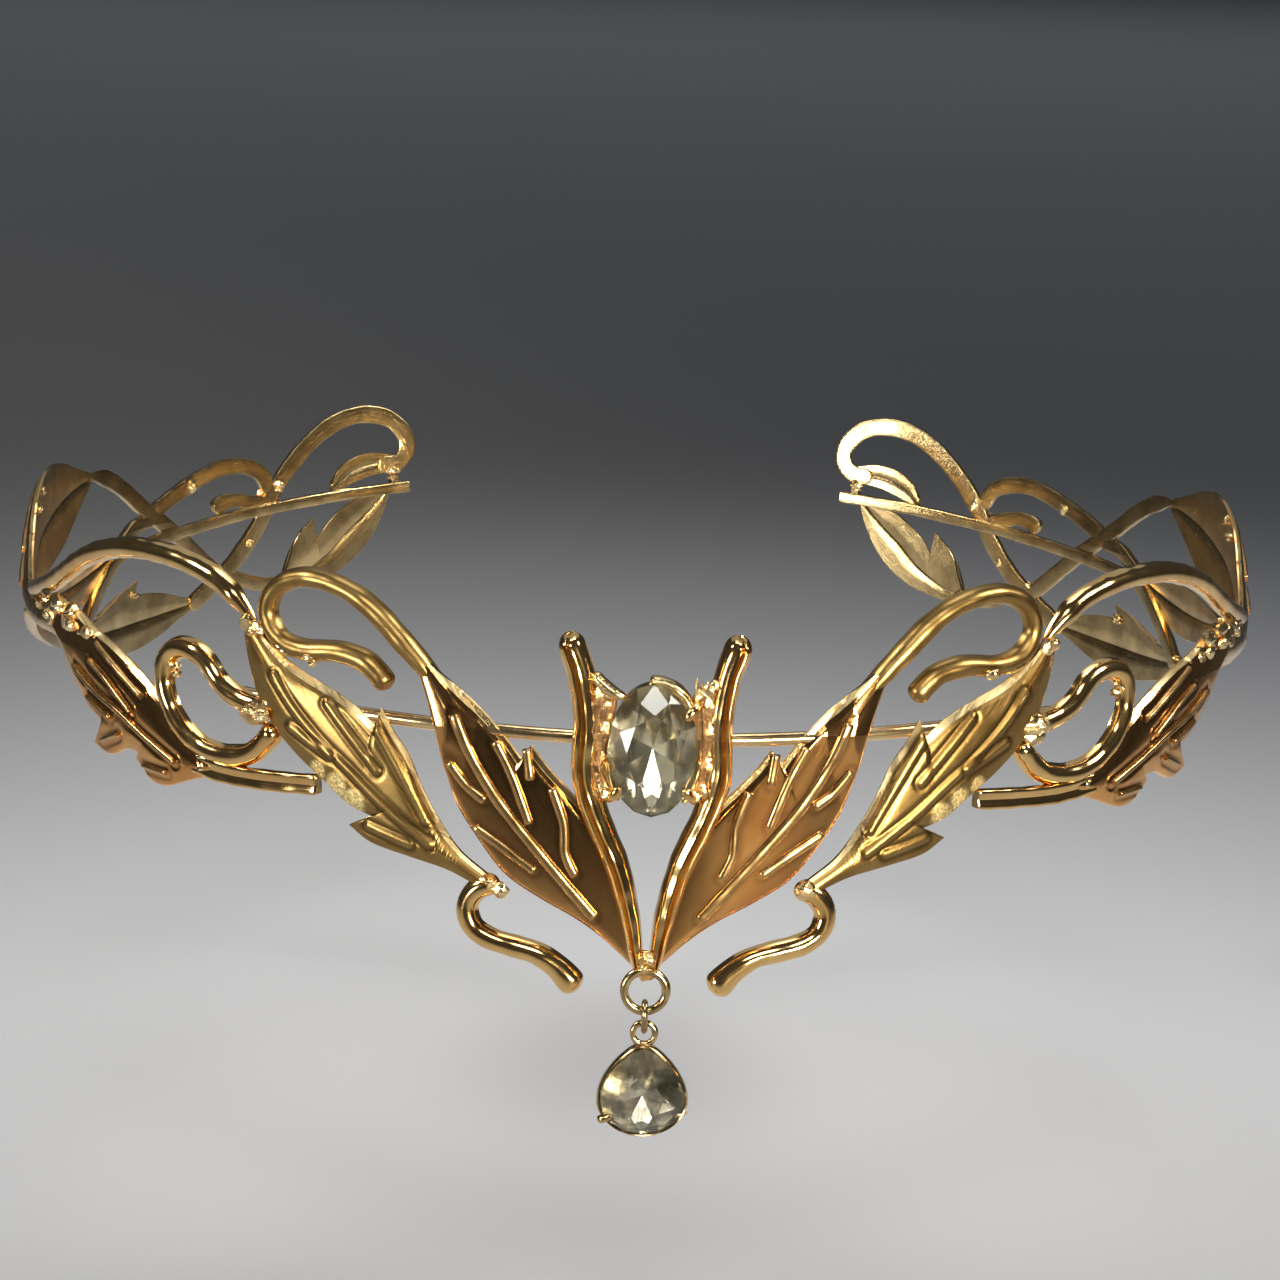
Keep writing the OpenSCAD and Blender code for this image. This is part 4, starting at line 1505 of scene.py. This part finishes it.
@dataclass
class SolderWork(Assembly):
    """Crumpled solder at the joints of the band.

    Attributes:
        per_joint: Number of lumps at a joint.
        scatter: How far they stray from its middle, as a share of its size.
        least: Half size of the smallest lump, as a share of the joint's size.
        most: Half size of the largest.
        stretch: How much longer, higher and deeper they are than that.
        tip: Lumps at the point of the V, each a middle, a half size and a seed.
        knot: Lumps over the drop's ring, the same way.
    """

    per_joint: int = 4
    scatter: float = 0.34
    least: float = 0.24
    most: float = 0.4
    stretch: tuple[float, float, float] = (1.45, 1.0, 0.9)
    tip: Lumps = (
        ((0, -24.9, 0.75), (1.75, 1.5, 1.0), 24), ((0.1, -25.9, 0.9), (1.2, 1.0, 0.9), 27),
    )
    knot: Lumps = (
        ((-0.6, -24.2, 1.7), (0.9, 0.9, 0.7), 11), ((0.6, -24.0, 1.8), (0.9, 0.8, 0.7), 12),
        ((0.0, -24.9, 1.6), (0.8, 0.7, 0.7), 13),
    )

    def cluster(self, row: tuple[float, ...], seed: int) -> list[Patch]:
        """Lumps of one joint, scattered round its middle.

        Args:
            row: The joint's u, v, size and lift.
            seed: Number that settles the lumps.

        Returns:
            A surface for each lump.
        """
        draw = np.random.default_rng(seed)
        u, v, size, lift = row
        patches = []
        for k in range(self.per_joint):
            shift = draw.uniform(-self.scatter, self.scatter, 3) * size
            half = size * draw.uniform(self.least, self.most, 3) * self.stretch
            centre = (u + shift[0], v + shift[1], lift + 0.3 * shift[2])
            patches.append(lump(centre, tuple(half), seed * 10 + k, BAND.place))
        return patches

    def build(self) -> None:
        """Makes the joints of both halves, the point of the V and the knot over the ring."""
        kinds = self.shop.finishes
        for side, first in ((Side.RIGHT, 100), (Side.LEFT, 300)):
            rows = enumerate(JOINTS, first)
            patches = [p.mirrored(side) for seed, row in rows for p in self.cluster(row, seed)]
            name = f"solder_{side.name.lower()}"
            self.shop.frame_piece(name, patches, [kinds.solder], CRUMPLED_EDGE)
        middle = (("point_tip", self.tip, kinds.plate), ("point_knot", self.knot, kinds.solder))
        for name, rows, kind in middle:
            patches = [lump(*row, BAND.place) for row in rows]
            self.shop.frame_piece(name, patches, [kind], CRUMPLED_EDGE)


# Round the stone: its cheeks and the ridge of solder as (x, z, width, lift), the lumps as
# middles and half sizes, and the fins as (x, height of the foot, height of the tip).
CHEEK = (
    (5.8, 5.4, 2.0, 1.3), (5.4, 4.6, 2.8, 1.4), (5.5, 2.8, 2.8, 1.3), (5.7, 0.2, 2.7, 1.3),
    (5.5, -3.4, 2.7, 1.3), (4.8, -6.6, 1.8, 1.2),
)
RIDGE = ((-6.5, 7.2, 1.4, 2.1), (-5.4, 6.1, 1.4, 2.5), (-4.1, 5.3, 1.2, 2.9), (-2.9, 4.9, 0.9, 3.1))
SEAT_LUMPS = (
    ((-5.9, 5.2, 2.6), (0.8, 0.7, 0.6)), ((-4.8, 4.9, 2.8), (0.7, 0.6, 0.5)),
    ((4.9, 5.2, 2.9), (0.8, 0.9, 0.6)), ((5.6, 5.6, 2.7), (0.9, 0.8, 0.7)),
    ((6.3, 6.2, 2.5), (0.8, 0.8, 0.7)), ((5.7, 4.3, 2.6), (0.7, 0.8, 0.6)),
    ((-4.7, -5.6, 3.0), (0.9, 0.8, 0.9)), ((-5.4, -5.0, 2.4), (0.8, 0.8, 0.8)),
    ((4.7, -5.6, 3.0), (0.9, 0.8, 0.9)), ((5.4, -5.0, 2.4), (0.8, 0.8, 0.8)),
)
SEAT_FINS = ((4.4, 5.0, 7.6), (4.9, 5.2, 6.9), (5.5, 5.6, 7.2), (6.1, 5.9, 7.0))


@dataclass
class AtStone(Assembly):
    """Sub-assembly at the oval centre stone.

    Attributes:
        wide: Width of the stone.
        high: Height of the stone.
        middle: Height of its middle.
        girdle: Distance of its girdle in front of the band.
    """

    wide: float = 9.6
    high: float = 14.4
    middle: float = -0.8
    girdle: float = 3.0


@dataclass
class StoneSeat(AtStone):
    """Collar, claws and rough solder that hold the centre stone between the twigs.

    Attributes:
        claw_angles: Places of the claws round the stone, in degrees from the top.
        claw_d: Diameter of a claw.
        bezels: First angle, last angle and width of each strip of bezel.
        arch: The same of the arch of solder over the stone.
    """

    claw_angles: tuple[float, ...] = (54, 128, 232)
    claw_d: float = 1.1
    bezels: Rows = ((96, 140, 0.7), (222, 262, 0.7))
    arch: tuple[float, float, float] = (-6, 58, 1.2)

    def collar(self) -> Patch:
        """Wall behind the girdle: an oval of angle a carries a closed profile.

        Returns:
            The closed surface.
        """
        a = full_turn(96)[:, None]
        profile = np.array([
            (-0.9, 0.9), (-0.3, 0.9), (-0.2, 1.0), (-0.1, 2.3), (-0.2, 2.45), (-0.8, 2.3),
            (-0.9, 2.1),
        ])
        x = (self.wide / 2 + profile[:, 0]) * np.sin(a)
        z = self.middle + (self.high / 2 + profile[:, 0]) * np.cos(a)
        rings = BAND.front(x, z, profile[:, 1] + 0 * a)
        grain = grid(a * self.high / 2, profile[:, 1][None])
        return skin(rings, np.zeros(len(profile), int), grain, hoop=True)

    def claw(self, angle: float) -> Patch:
        """Claw beside the stone, bent in over its girdle.

        Its middle follows a path of (share of the stone's half size, out). At share s of
        that path a circle of angle b is carried across it, sqrt(1 - ((s - 0.8) / 0.2)^2)
        of full size beyond 0.8, so the tip is round.

        Args:
            angle: Its place round the stone, in degrees from the top.

        Returns:
            The closed surface.
        """
        a, sides = math.radians(angle), 14
        path = curve(((1.16, 1.2), (1.17, 2.4), (1.14, 3.3), (1.04, 4.0), (0.9, 4.5)), 6)
        slope = np.gradient(path, axis=0)
        slope /= np.linalg.norm(slope, axis=1)[:, None]
        around = full_turn(sides)[None, :]
        share = np.linspace(0, 1, len(path))
        tip = np.clip((share - 0.8) / 0.2, 0, 1)
        thick = self.claw_d / 2 * np.sqrt(np.clip(1 - tip**2, 0.01, 1))[:, None]
        scale = self.wide / 2
        reach = path[:, :1] * scale - thick * np.sin(around) * slope[:, 1:]
        out = path[:, 1:] + thick * np.sin(around) * slope[:, :1]
        aside = thick * np.cos(around)
        x = reach * math.sin(a) + aside * math.cos(a)
        z = self.middle + reach * math.cos(a) * self.high / self.wide - aside * math.sin(a)
        return skin(BAND.front(x, z, out), np.zeros(sides, int), grid(share[:, None] * 4, around))

    def rim(self, first: float, last: float, wide: float) -> Patch:
        """Strip of bezel that follows the girdle.

        Args:
            first: Angle where it starts, in degrees from the top.
            last: Angle where it ends.
            wide: Its width.

        Returns:
            The closed surface.
        """
        a = np.radians(np.linspace(first, last, 9))
        clear, sunk = 0.25, 0.6
        x = (self.wide / 2 + clear) * np.sin(a)
        z = self.middle + (self.high / 2 + clear) * np.cos(a)
        route = np.column_stack(np.broadcast_arrays(x, z, wide, self.girdle - sunk))
        return Rod(route, 1.3, Section.HALF_ROUND, hand=0.08, step=0.3).surface(BAND.front, 2)

    def build(self) -> None:
        """Makes the collar, the claws, the cheeks and the solder round them."""
        kinds = self.shop.finishes
        claws = [self.claw(angle) for angle in self.claw_angles]
        rims = [self.rim(*row) for row in self.bezels]
        self.shop.frame_piece("stone_collar", [self.collar(), *claws, *rims], [kinds.polished])
        rough = Rod(CHEEK, 1.5, Section.LOW, hand=0.14, step=0.35, sides=22)
        ridge = Rod(RIDGE, 1.0, hand=0.1)
        lumps = enumerate(SEAT_LUMPS, 40)
        patches = [lump(centre, size, seed, BAND.front) for seed, (centre, size) in lumps]
        for u, foot, tip in SEAT_FINS:
            route = ((u, foot - 1.2, 0.5, 2.4), (u, foot, 0.45, 2.5), (u + 0.05, tip, 0.3, 2.6))
            fin = Rod(route, 0.6, Section.WIRE, End.CUT, End.POINT, 0.1, 0.2, 8)
            patches.append(fin.surface(BAND.front, int(u)))
        self.shop.frame_piece("stone_solder", patches, [kinds.solder], CRUMPLED_EDGE)
        arches = [ridge.surface(BAND.front, 3), self.rim(*self.arch)]
        self.shop.frame_piece("stone_arches", arches, [kinds.solder])
        cheeks = [rough.surface(BAND.front, 5).mirrored(side) for side in Side]
        self.shop.frame_piece("stone_cheeks", cheeks, [kinds.pitted])


Outline = Callable[[float, Array], tuple[Array, Array]]


@dataclass(frozen=True)
class Cut:
    """Brilliant cut, as depths from the girdle and shares of the outline.

    Attributes:
        table: Share of the outline that the table takes.
        bezel: Share at the corners between table and girdle.
        crown: Height of the table above the girdle.
        edge: Half of the girdle's thickness.
        pavilion: Share at the corners below the girdle.
        depth: Depth of the culet below the girdle.
    """

    table: float
    bezel: float
    crown: float
    edge: float
    pavilion: float
    depth: float

    def surface(self, outline: Outline, girdle: float) -> Patch:
        """Table, stars, kites and girdle facets above, and the same kinds below.

        The kites are flat where the outline is an oval: their middle corners stand at
        the share (1 - k cos 22.5) / (1 - table) of the height, with k the corner's share.

        Args:
            outline: Turns a share of full size and angles into x and z.
            girdle: Distance of the girdle in front of the band.

        Returns:
            The closed surface, with the foil's finish number on its girdle and back.
        """
        eight = np.arange(8) * 45.0
        sixteen = np.arange(16) * 22.5
        lean = math.cos(math.radians(22.5))
        bezel_high = self.crown * (1 - self.bezel * lean) / (1 - self.table)
        pavilion_low = self.depth * (1 - self.pavilion * lean)
        rings = [
            (self.table, eight, self.crown + self.edge),
            (self.bezel, eight + 22.5, bezel_high + self.edge),
            (1.0, sixteen, self.edge),
            (1.0, sixteen, -self.edge),
            (self.pavilion, eight + 22.5, -pavilion_low - self.edge),
            (0.0, np.zeros(1), -self.depth - self.edge),
        ]
        points = []
        for share, angles, level in rings:
            x, z = outline(share, angles)
            points.append(BAND.front(x, z, girdle + level + 0 * x))
        starts = np.cumsum([0] + [len(p) for p in points])
        k = np.arange(8)
        after = (k + 1) % 8
        table, bezel, top, under, below, culet = starts[:6]
        even, odd, next_even = 2 * k, 2 * k + 1, (2 * k + 2) % 16
        facets = [
            (table + k, bezel + k, table + after),
            (table + k, bezel + (k - 1) % 8, top + even),
            (table + k, top + even, bezel + k),
            (bezel + k, top + even, top + odd),
            (bezel + k, top + odd, top + next_even),
            (below + k, under + odd, under + even),
            (below + k, under + next_even, under + odd),
            (below + k, under + even, below + (k - 1) % 8),
            (below + k, below + (k - 1) % 8, culet + 0 * k),
        ]
        triangles = np.vstack([grid(*facet, -1) for facet in facets])
        j = np.arange(16)
        walls = grid(top + j, under + j, under + (j + 1) % 16, top + (j + 1) % 16)
        lid = grid(table, table + k[1:7], table + k[2:], -1)
        faces = np.vstack([triangles, walls, lid])
        above = 5 * len(k)
        numbers = np.repeat([0, 1, 0], [above, len(triangles) + len(walls) - above, len(lid)])
        corners = np.vstack(points)
        return Patch(corners, faces, numbers, corners[:, :2], np.zeros((len(corners), 2))).outward()


@dataclass
class CentreStone(AtStone):
    """The oval stone itself, between the twigs.

    Attributes:
        cut: Its cut.
    """

    cut: Cut = Cut(0.58, 0.8, 1.8, 0.2, 0.5, 2.3)

    def outline(self, share: float, angles: Array) -> tuple[Array, Array]:
        """Oval of a share of full size: x = wide / 2 sin a and z = high / 2 cos a."""
        a = np.radians(angles)
        return share * self.wide / 2 * np.sin(a), self.middle + share * self.high / 2 * np.cos(a)

    def build(self) -> None:
        """Makes the stone."""
        patch = self.cut.surface(self.outline, self.girdle)
        kinds = self.shop.finishes
        glass = self.shop.finish(kinds.crystal, kinds.foil)
        piece = make_piece("oval_stone", [patch], glass, FACET_EDGE)
        self.shop.hang(piece, "crown", "centre_stone", "centre_crystal")


@dataclass
class Drop(Assembly):
    """Ring under the point of the V, the link in it, and the pear drop in the link.

    Attributes:
        out: Distance of the drop's middle plane in front of the band.
        ring: Height of the ring's middle, its radius and its wire.
        link: Height of the link's middle, its half width, half height and wire.
        eye: Height of the eye's middle, its radius and its wire.
        top: Height of the pear's point.
        wide: Width of the pear.
        high: Height of the pear.
        stone_share: Share of the pear that the stone takes.
        cut: The stone's cut.
    """

    out: float = 1.65
    ring: tuple[float, float, float] = (-27.6, 2.25, 0.98)
    link: tuple[float, float, float, float] = (-30.45, 1.05, 1.55, 0.7)
    eye: tuple[float, float, float] = (-32.35, 1.2, 0.7)
    top: float = -33.55
    wide: float = 9.9
    high: float = 10.3
    stone_share: float = 0.935
    cut: Cut = Cut(0.5, 0.78, 1.5, 0.15, 0.5, 1.4)

    def outline(self, share: float, angles: Array) -> tuple[Array, Array]:
        """Pear of the given share of its size.

        With h = (1 - cos a) / 2 down from the point, half the width is
        sin a (0.57 + 0.525 sin(90 h^0.85)) of wide / 2. The share is taken about a
        middle at 0.56 of the height.

        Args:
            share: Share of full size.
            angles: Angles round the pear, in degrees from its point.

        Returns:
            Arrays of x and z.
        """
        a = np.radians(angles)
        h = (1 - np.cos(a)) / 2
        x = self.wide / 2 * np.sin(a) * (0.57 + 0.525 * np.sin(np.pi / 2 * h**0.85))
        z = -self.high * h
        middle = -self.high * 0.56
        return x * share, self.top + (z - middle) * share + middle

    def setting(self) -> Patch:
        """Rim with a ledge behind the stone: the pear carries a closed profile.

        Returns:
            The closed surface.
        """
        angles = np.linspace(0, 360, 96, endpoint=False)
        profile = (
            (0.1, -1.1), (0.0, -0.6), (0.0, 0.46), (0.05, 0.6), (0.13, 0.66), (0.22, 0.6),
            (0.27, 0.46), (0.27, -0.85), (0.35, -0.9), (1.6, -0.9), (1.6, -1.2), (0.3, -1.2),
        )
        rings = []
        for inset, level in profile:
            x, z = self.outline(1 - 2 * inset / self.wide, angles)
            rings.append(BAND.front(x, z, self.out + level + 0 * x))
        grain = grid(angles[:, None] * 0.08, np.arange(len(profile))[None] * 0.4)
        return skin(np.stack(rings, 1), np.zeros(len(profile), int), grain, hoop=True)

    def claws(self) -> list[Patch]:
        """Worn claw at the lower left and thin pointed claw at the lower right.

        Returns:
            The two surfaces.
        """
        low, out = self.top - 0.84 * self.high, self.out
        worn = ((-4.8, 0.1, 1.1, 0.2), (-4.1, 0.3, 1.0, 0.4), (-3.0, 0.8, 0.7, 0.5))
        thin = ((3.2, 1.0, 0.7, 0.5), (4.3, 0.9, 0.6, 0.3), (5.2, 1.2, 0.35, 0.1))
        worn, thin = (np.array(route) + (0, low, 0, out) for route in (worn, thin))
        return [
            Rod(worn, 0.8, hand=0.15, step=0.2, sides=14).surface(BAND.front, 4),
            Rod(thin, 0.6, finish=End.POINT, hand=0.1, step=0.2, sides=12).surface(BAND.front, 5),
        ]

    def build(self) -> None:
        """Makes the ring, the link, the setting with its eye, and the stone."""
        kinds = self.shop.finishes
        y = -(BAND.half_depth + self.out)
        ring = hoop((0, y, self.ring[0]), (self.ring[1], self.ring[1]), self.ring[2], False)
        self.shop.frame_piece("point_ring", [ring], [kinds.toned])
        link = hoop((0, y, self.link[0]), self.link[1:3], self.link[3], True)
        piece = make_piece("link_ring", [link], self.shop.finish(kinds.toned))
        self.shop.hang(piece, "link", "drop_link", "gold_link")
        eye = hoop((0, y, self.eye[0]), (self.eye[1], self.eye[1]), self.eye[2], False)
        patches = [self.setting(), eye, *self.claws()]
        piece = make_piece("pear_setting", patches, self.shop.finish(kinds.toned))
        self.shop.hang(piece, "drop", "drop_setting", "gold_setting")
        inside = self.stone_share
        stone = self.cut.surface(lambda share, a: self.outline(share * inside, a), self.out + 0.5)
        glass = self.shop.finish(kinds.smoky, kinds.dark_foil)
        piece = make_piece("pear_stone", [stone], glass, FACET_EDGE)
        self.shop.hang(piece, "drop", "drop_stone", "drop_crystal")


@dataclass(frozen=True)
class SoftBox:
    """Soft light.

    Attributes:
        name: Its name.
        spot: Its place, in metres.
        aim: Place that it points at.
        size: Its width and height, in metres.
        power: Its power, in watts.
        tint: Its colour.
        spread: Angle over which it shines, in degrees.
    """

    name: str
    spot: Point
    aim: Point
    size: tuple[float, float]
    power: float
    tint: Point
    spread: float


WHITE: Point = (1.0, 1.0, 1.0)
SOFT_WHITE: Point = (1.0, 0.99, 0.97)
DAYLIGHT: Point = (1.0, 0.985, 0.95)
LAMPLIGHT: Point = (1.0, 0.88, 0.68)
SOFT_BOXES = (
    SoftBox("overhead_light", (0.02, 0.16, 0.8), (0.02, 0.12, -0.075), (0.3, 0.3), 0.14, WHITE, 44),
    SoftBox("back_light", (0.05, 0.35, 0.7), (0.03, 0.22, -0.075), (0.4, 0.25), 0.12, WHITE, 50),
    SoftBox("window_light", (0.727, -0.155, 0.669), (0, 0, 0), (0.25, 0.35), 0.24, DAYLIGHT, 26),
    SoftBox(
        "warm_low_light", (0.37, -0.92, 0.087), (0.02, -0.05, 0.015), (0.3, 0.12),
        0.32, LAMPLIGHT, 22,
    ),
    SoftBox(
        "left_light", (-0.785, -0.613, 0.09), (-0.03, -0.02, 0.01), (0.24, 0.36),
        0.16, DAYLIGHT, 24,
    ),
    SoftBox("left_high_light", (-0.732, -0.129, 0.669), (0, 0, 0), (0.2, 0.3), 0.16, DAYLIGHT, 26),
    SoftBox(
        "front_high_light", (0, -0.71, 0.72), (0, -0.04, -0.01), (0.9, 0.3),
        0.22, SOFT_WHITE, 24,
    ),
    SoftBox("background_light", (0, 4.2, 3.4), (0, 4, 0), (5, 4), 20, (0.93, 0.97, 1.0), 160),
)


@dataclass
class Studio:
    """Camera, lights and floor.

    Attributes:
        distance: Distance of the camera from the middle of the band.
        elevation: Angle of the camera above the horizon, in degrees.
        roll: Turn of the camera about its own view, in degrees.
        turn: Turn of the crown to its own left, in degrees.
        aside: Shift of the crown's middle to the right of the view.
        above: Shift of the crown's middle upwards.
        focal: Focal length in pixels of the 1280-pixel picture.
        shift: Shift of the picture's centre, in the same pixels.
        floor: Height of the floor.
        frame_width: Width of the picture, in pixels.
        sensor: Width of the camera's sensor.
        room: Colour of the dim room.
        floor_tones: The two tones that cloud the floor.
        floor_half: Half of the floor's width, in metres.
        clip: Nearest and farthest distance that the camera sees, in metres.
    """

    distance: float = 450.0
    elevation: float = 11.8
    roll: float = 1.65
    turn: float = 1.56
    aside: float = 0.19
    above: float = 6.44
    focal: float = 3493.0
    shift: float = 7.4
    floor: float = -75.0
    frame_width: int = 1280
    sensor: float = 36.0
    room: Colour = (0.04, 0.041, 0.043, 1.0)
    floor_tones: tuple[Colour, Colour] = ((0.47, 0.475, 0.49, 1), (0.43, 0.435, 0.455, 1))
    floor_half: float = 15.0
    clip: tuple[float, float] = (0.01, 60.0)

    def camera(self) -> None:
        """Puts the camera where the photograph's was."""
        e, r, p = (math.radians(x) for x in (self.elevation, self.roll, self.turn))
        spot = np.array([0.0, -self.distance * math.cos(e), self.distance * math.sin(e)])
        spot -= np.array([self.aside, 0.0, self.above])
        level = np.array([0.0, math.sin(e), math.cos(e)])
        across = np.array([1.0, 0.0, 0.0])
        right = math.cos(r) * across + math.sin(r) * level
        up = -math.sin(r) * across + math.cos(r) * level
        back = np.cross(right, up)
        cos, sin = math.cos(p), math.sin(p)
        turned = np.array([[cos, sin, 0], [-sin, cos, 0], [0, 0, 1]])
        placed = np.eye(4)
        placed[:3, :3] = turned @ np.stack([right, up, back], -1)
        placed[:3, 3] = turned @ spot * MM
        data = bpy.data.cameras.new("camera")
        data.sensor_width = self.sensor
        data.lens = self.focal / self.frame_width * self.sensor
        data.shift_x = self.shift / self.frame_width
        data.clip_start, data.clip_end = self.clip
        camera = bpy.data.objects.new("camera", data)
        camera.matrix_world = Matrix(placed.tolist())
        bpy.context.scene.collection.objects.link(camera)
        bpy.context.scene.camera = camera

    def hang_light(self, box: SoftBox) -> None:
        """Hangs a soft box and points it at its aim.

        Args:
            box: The soft box.
        """
        data = bpy.data.lights.new(box.name, "AREA")
        data.shape = "RECTANGLE"
        data.size, data.size_y = box.size
        data.energy = box.power
        data.color = box.tint
        data.spread = math.radians(box.spread)
        away = np.array(box.spot) - np.array(box.aim)
        away /= np.linalg.norm(away)
        aside = np.cross([0.0, 0.001, 1.0], away)
        aside /= np.linalg.norm(aside)
        turn = Matrix(np.stack([aside, np.cross(away, aside), away], -1).tolist())
        light = bpy.data.objects.new(box.name, data)
        light.matrix_world = Matrix.Translation(box.spot) @ turn.to_4x4()
        light.visible_camera = False
        bpy.context.scene.collection.objects.link(light)

    def lights(self) -> None:
        """Hangs the soft boxes and sets the dim room round them."""
        for box in SOFT_BOXES:
            self.hang_light(box)
        world = bpy.data.worlds.new("room")
        world.use_nodes = True
        world.node_tree.nodes["Background"].inputs["Color"].default_value = self.room
        bpy.context.scene.world = world
        bpy.context.scene.view_settings.view_transform = "Standard"

    def ground(self) -> None:
        """Lays the plain pale floor."""
        graph = Graph("pale_floor")
        place = graph.add("TexCoord", {}).outputs["Object"]
        tone = graph.mix(graph.noise(place, 3, 4), *self.floor_tones)
        graph.fill(graph.shader, {"Base Color": tone, "Roughness": 0.6})
        half = self.floor_half
        ways = ((-half, -half), (half, -half), (half, half), (-half, half))
        corners = [(x, y, self.floor * MM) for x, y in ways]
        mesh = bpy.data.meshes.new("floor")
        mesh.from_pydata(corners, [], [(0, 1, 2, 3)])
        mesh.materials.append(graph.material)
        floor = bpy.data.objects.new("floor", mesh)
        bpy.context.scene.collection.objects.link(floor)

    def build(self) -> None:
        """Sets up the camera, the lights and the floor."""
        self.camera()
        self.lights()
        self.ground()


def main() -> None:
    """Builds the crown's looks in order."""
    logging.basicConfig(level=logging.INFO, format="%(name)s: %(message)s")
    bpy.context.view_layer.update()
    shop = Workshop()
    Studio().build()
    for kind in (Castings, Stiffeners, SolderWork, StoneSeat, CentreStone, Drop):
        part = kind(shop)
        part.build()
        LOG.info("%s done", type(part).__name__)


if __name__ == "__main__":
    main()
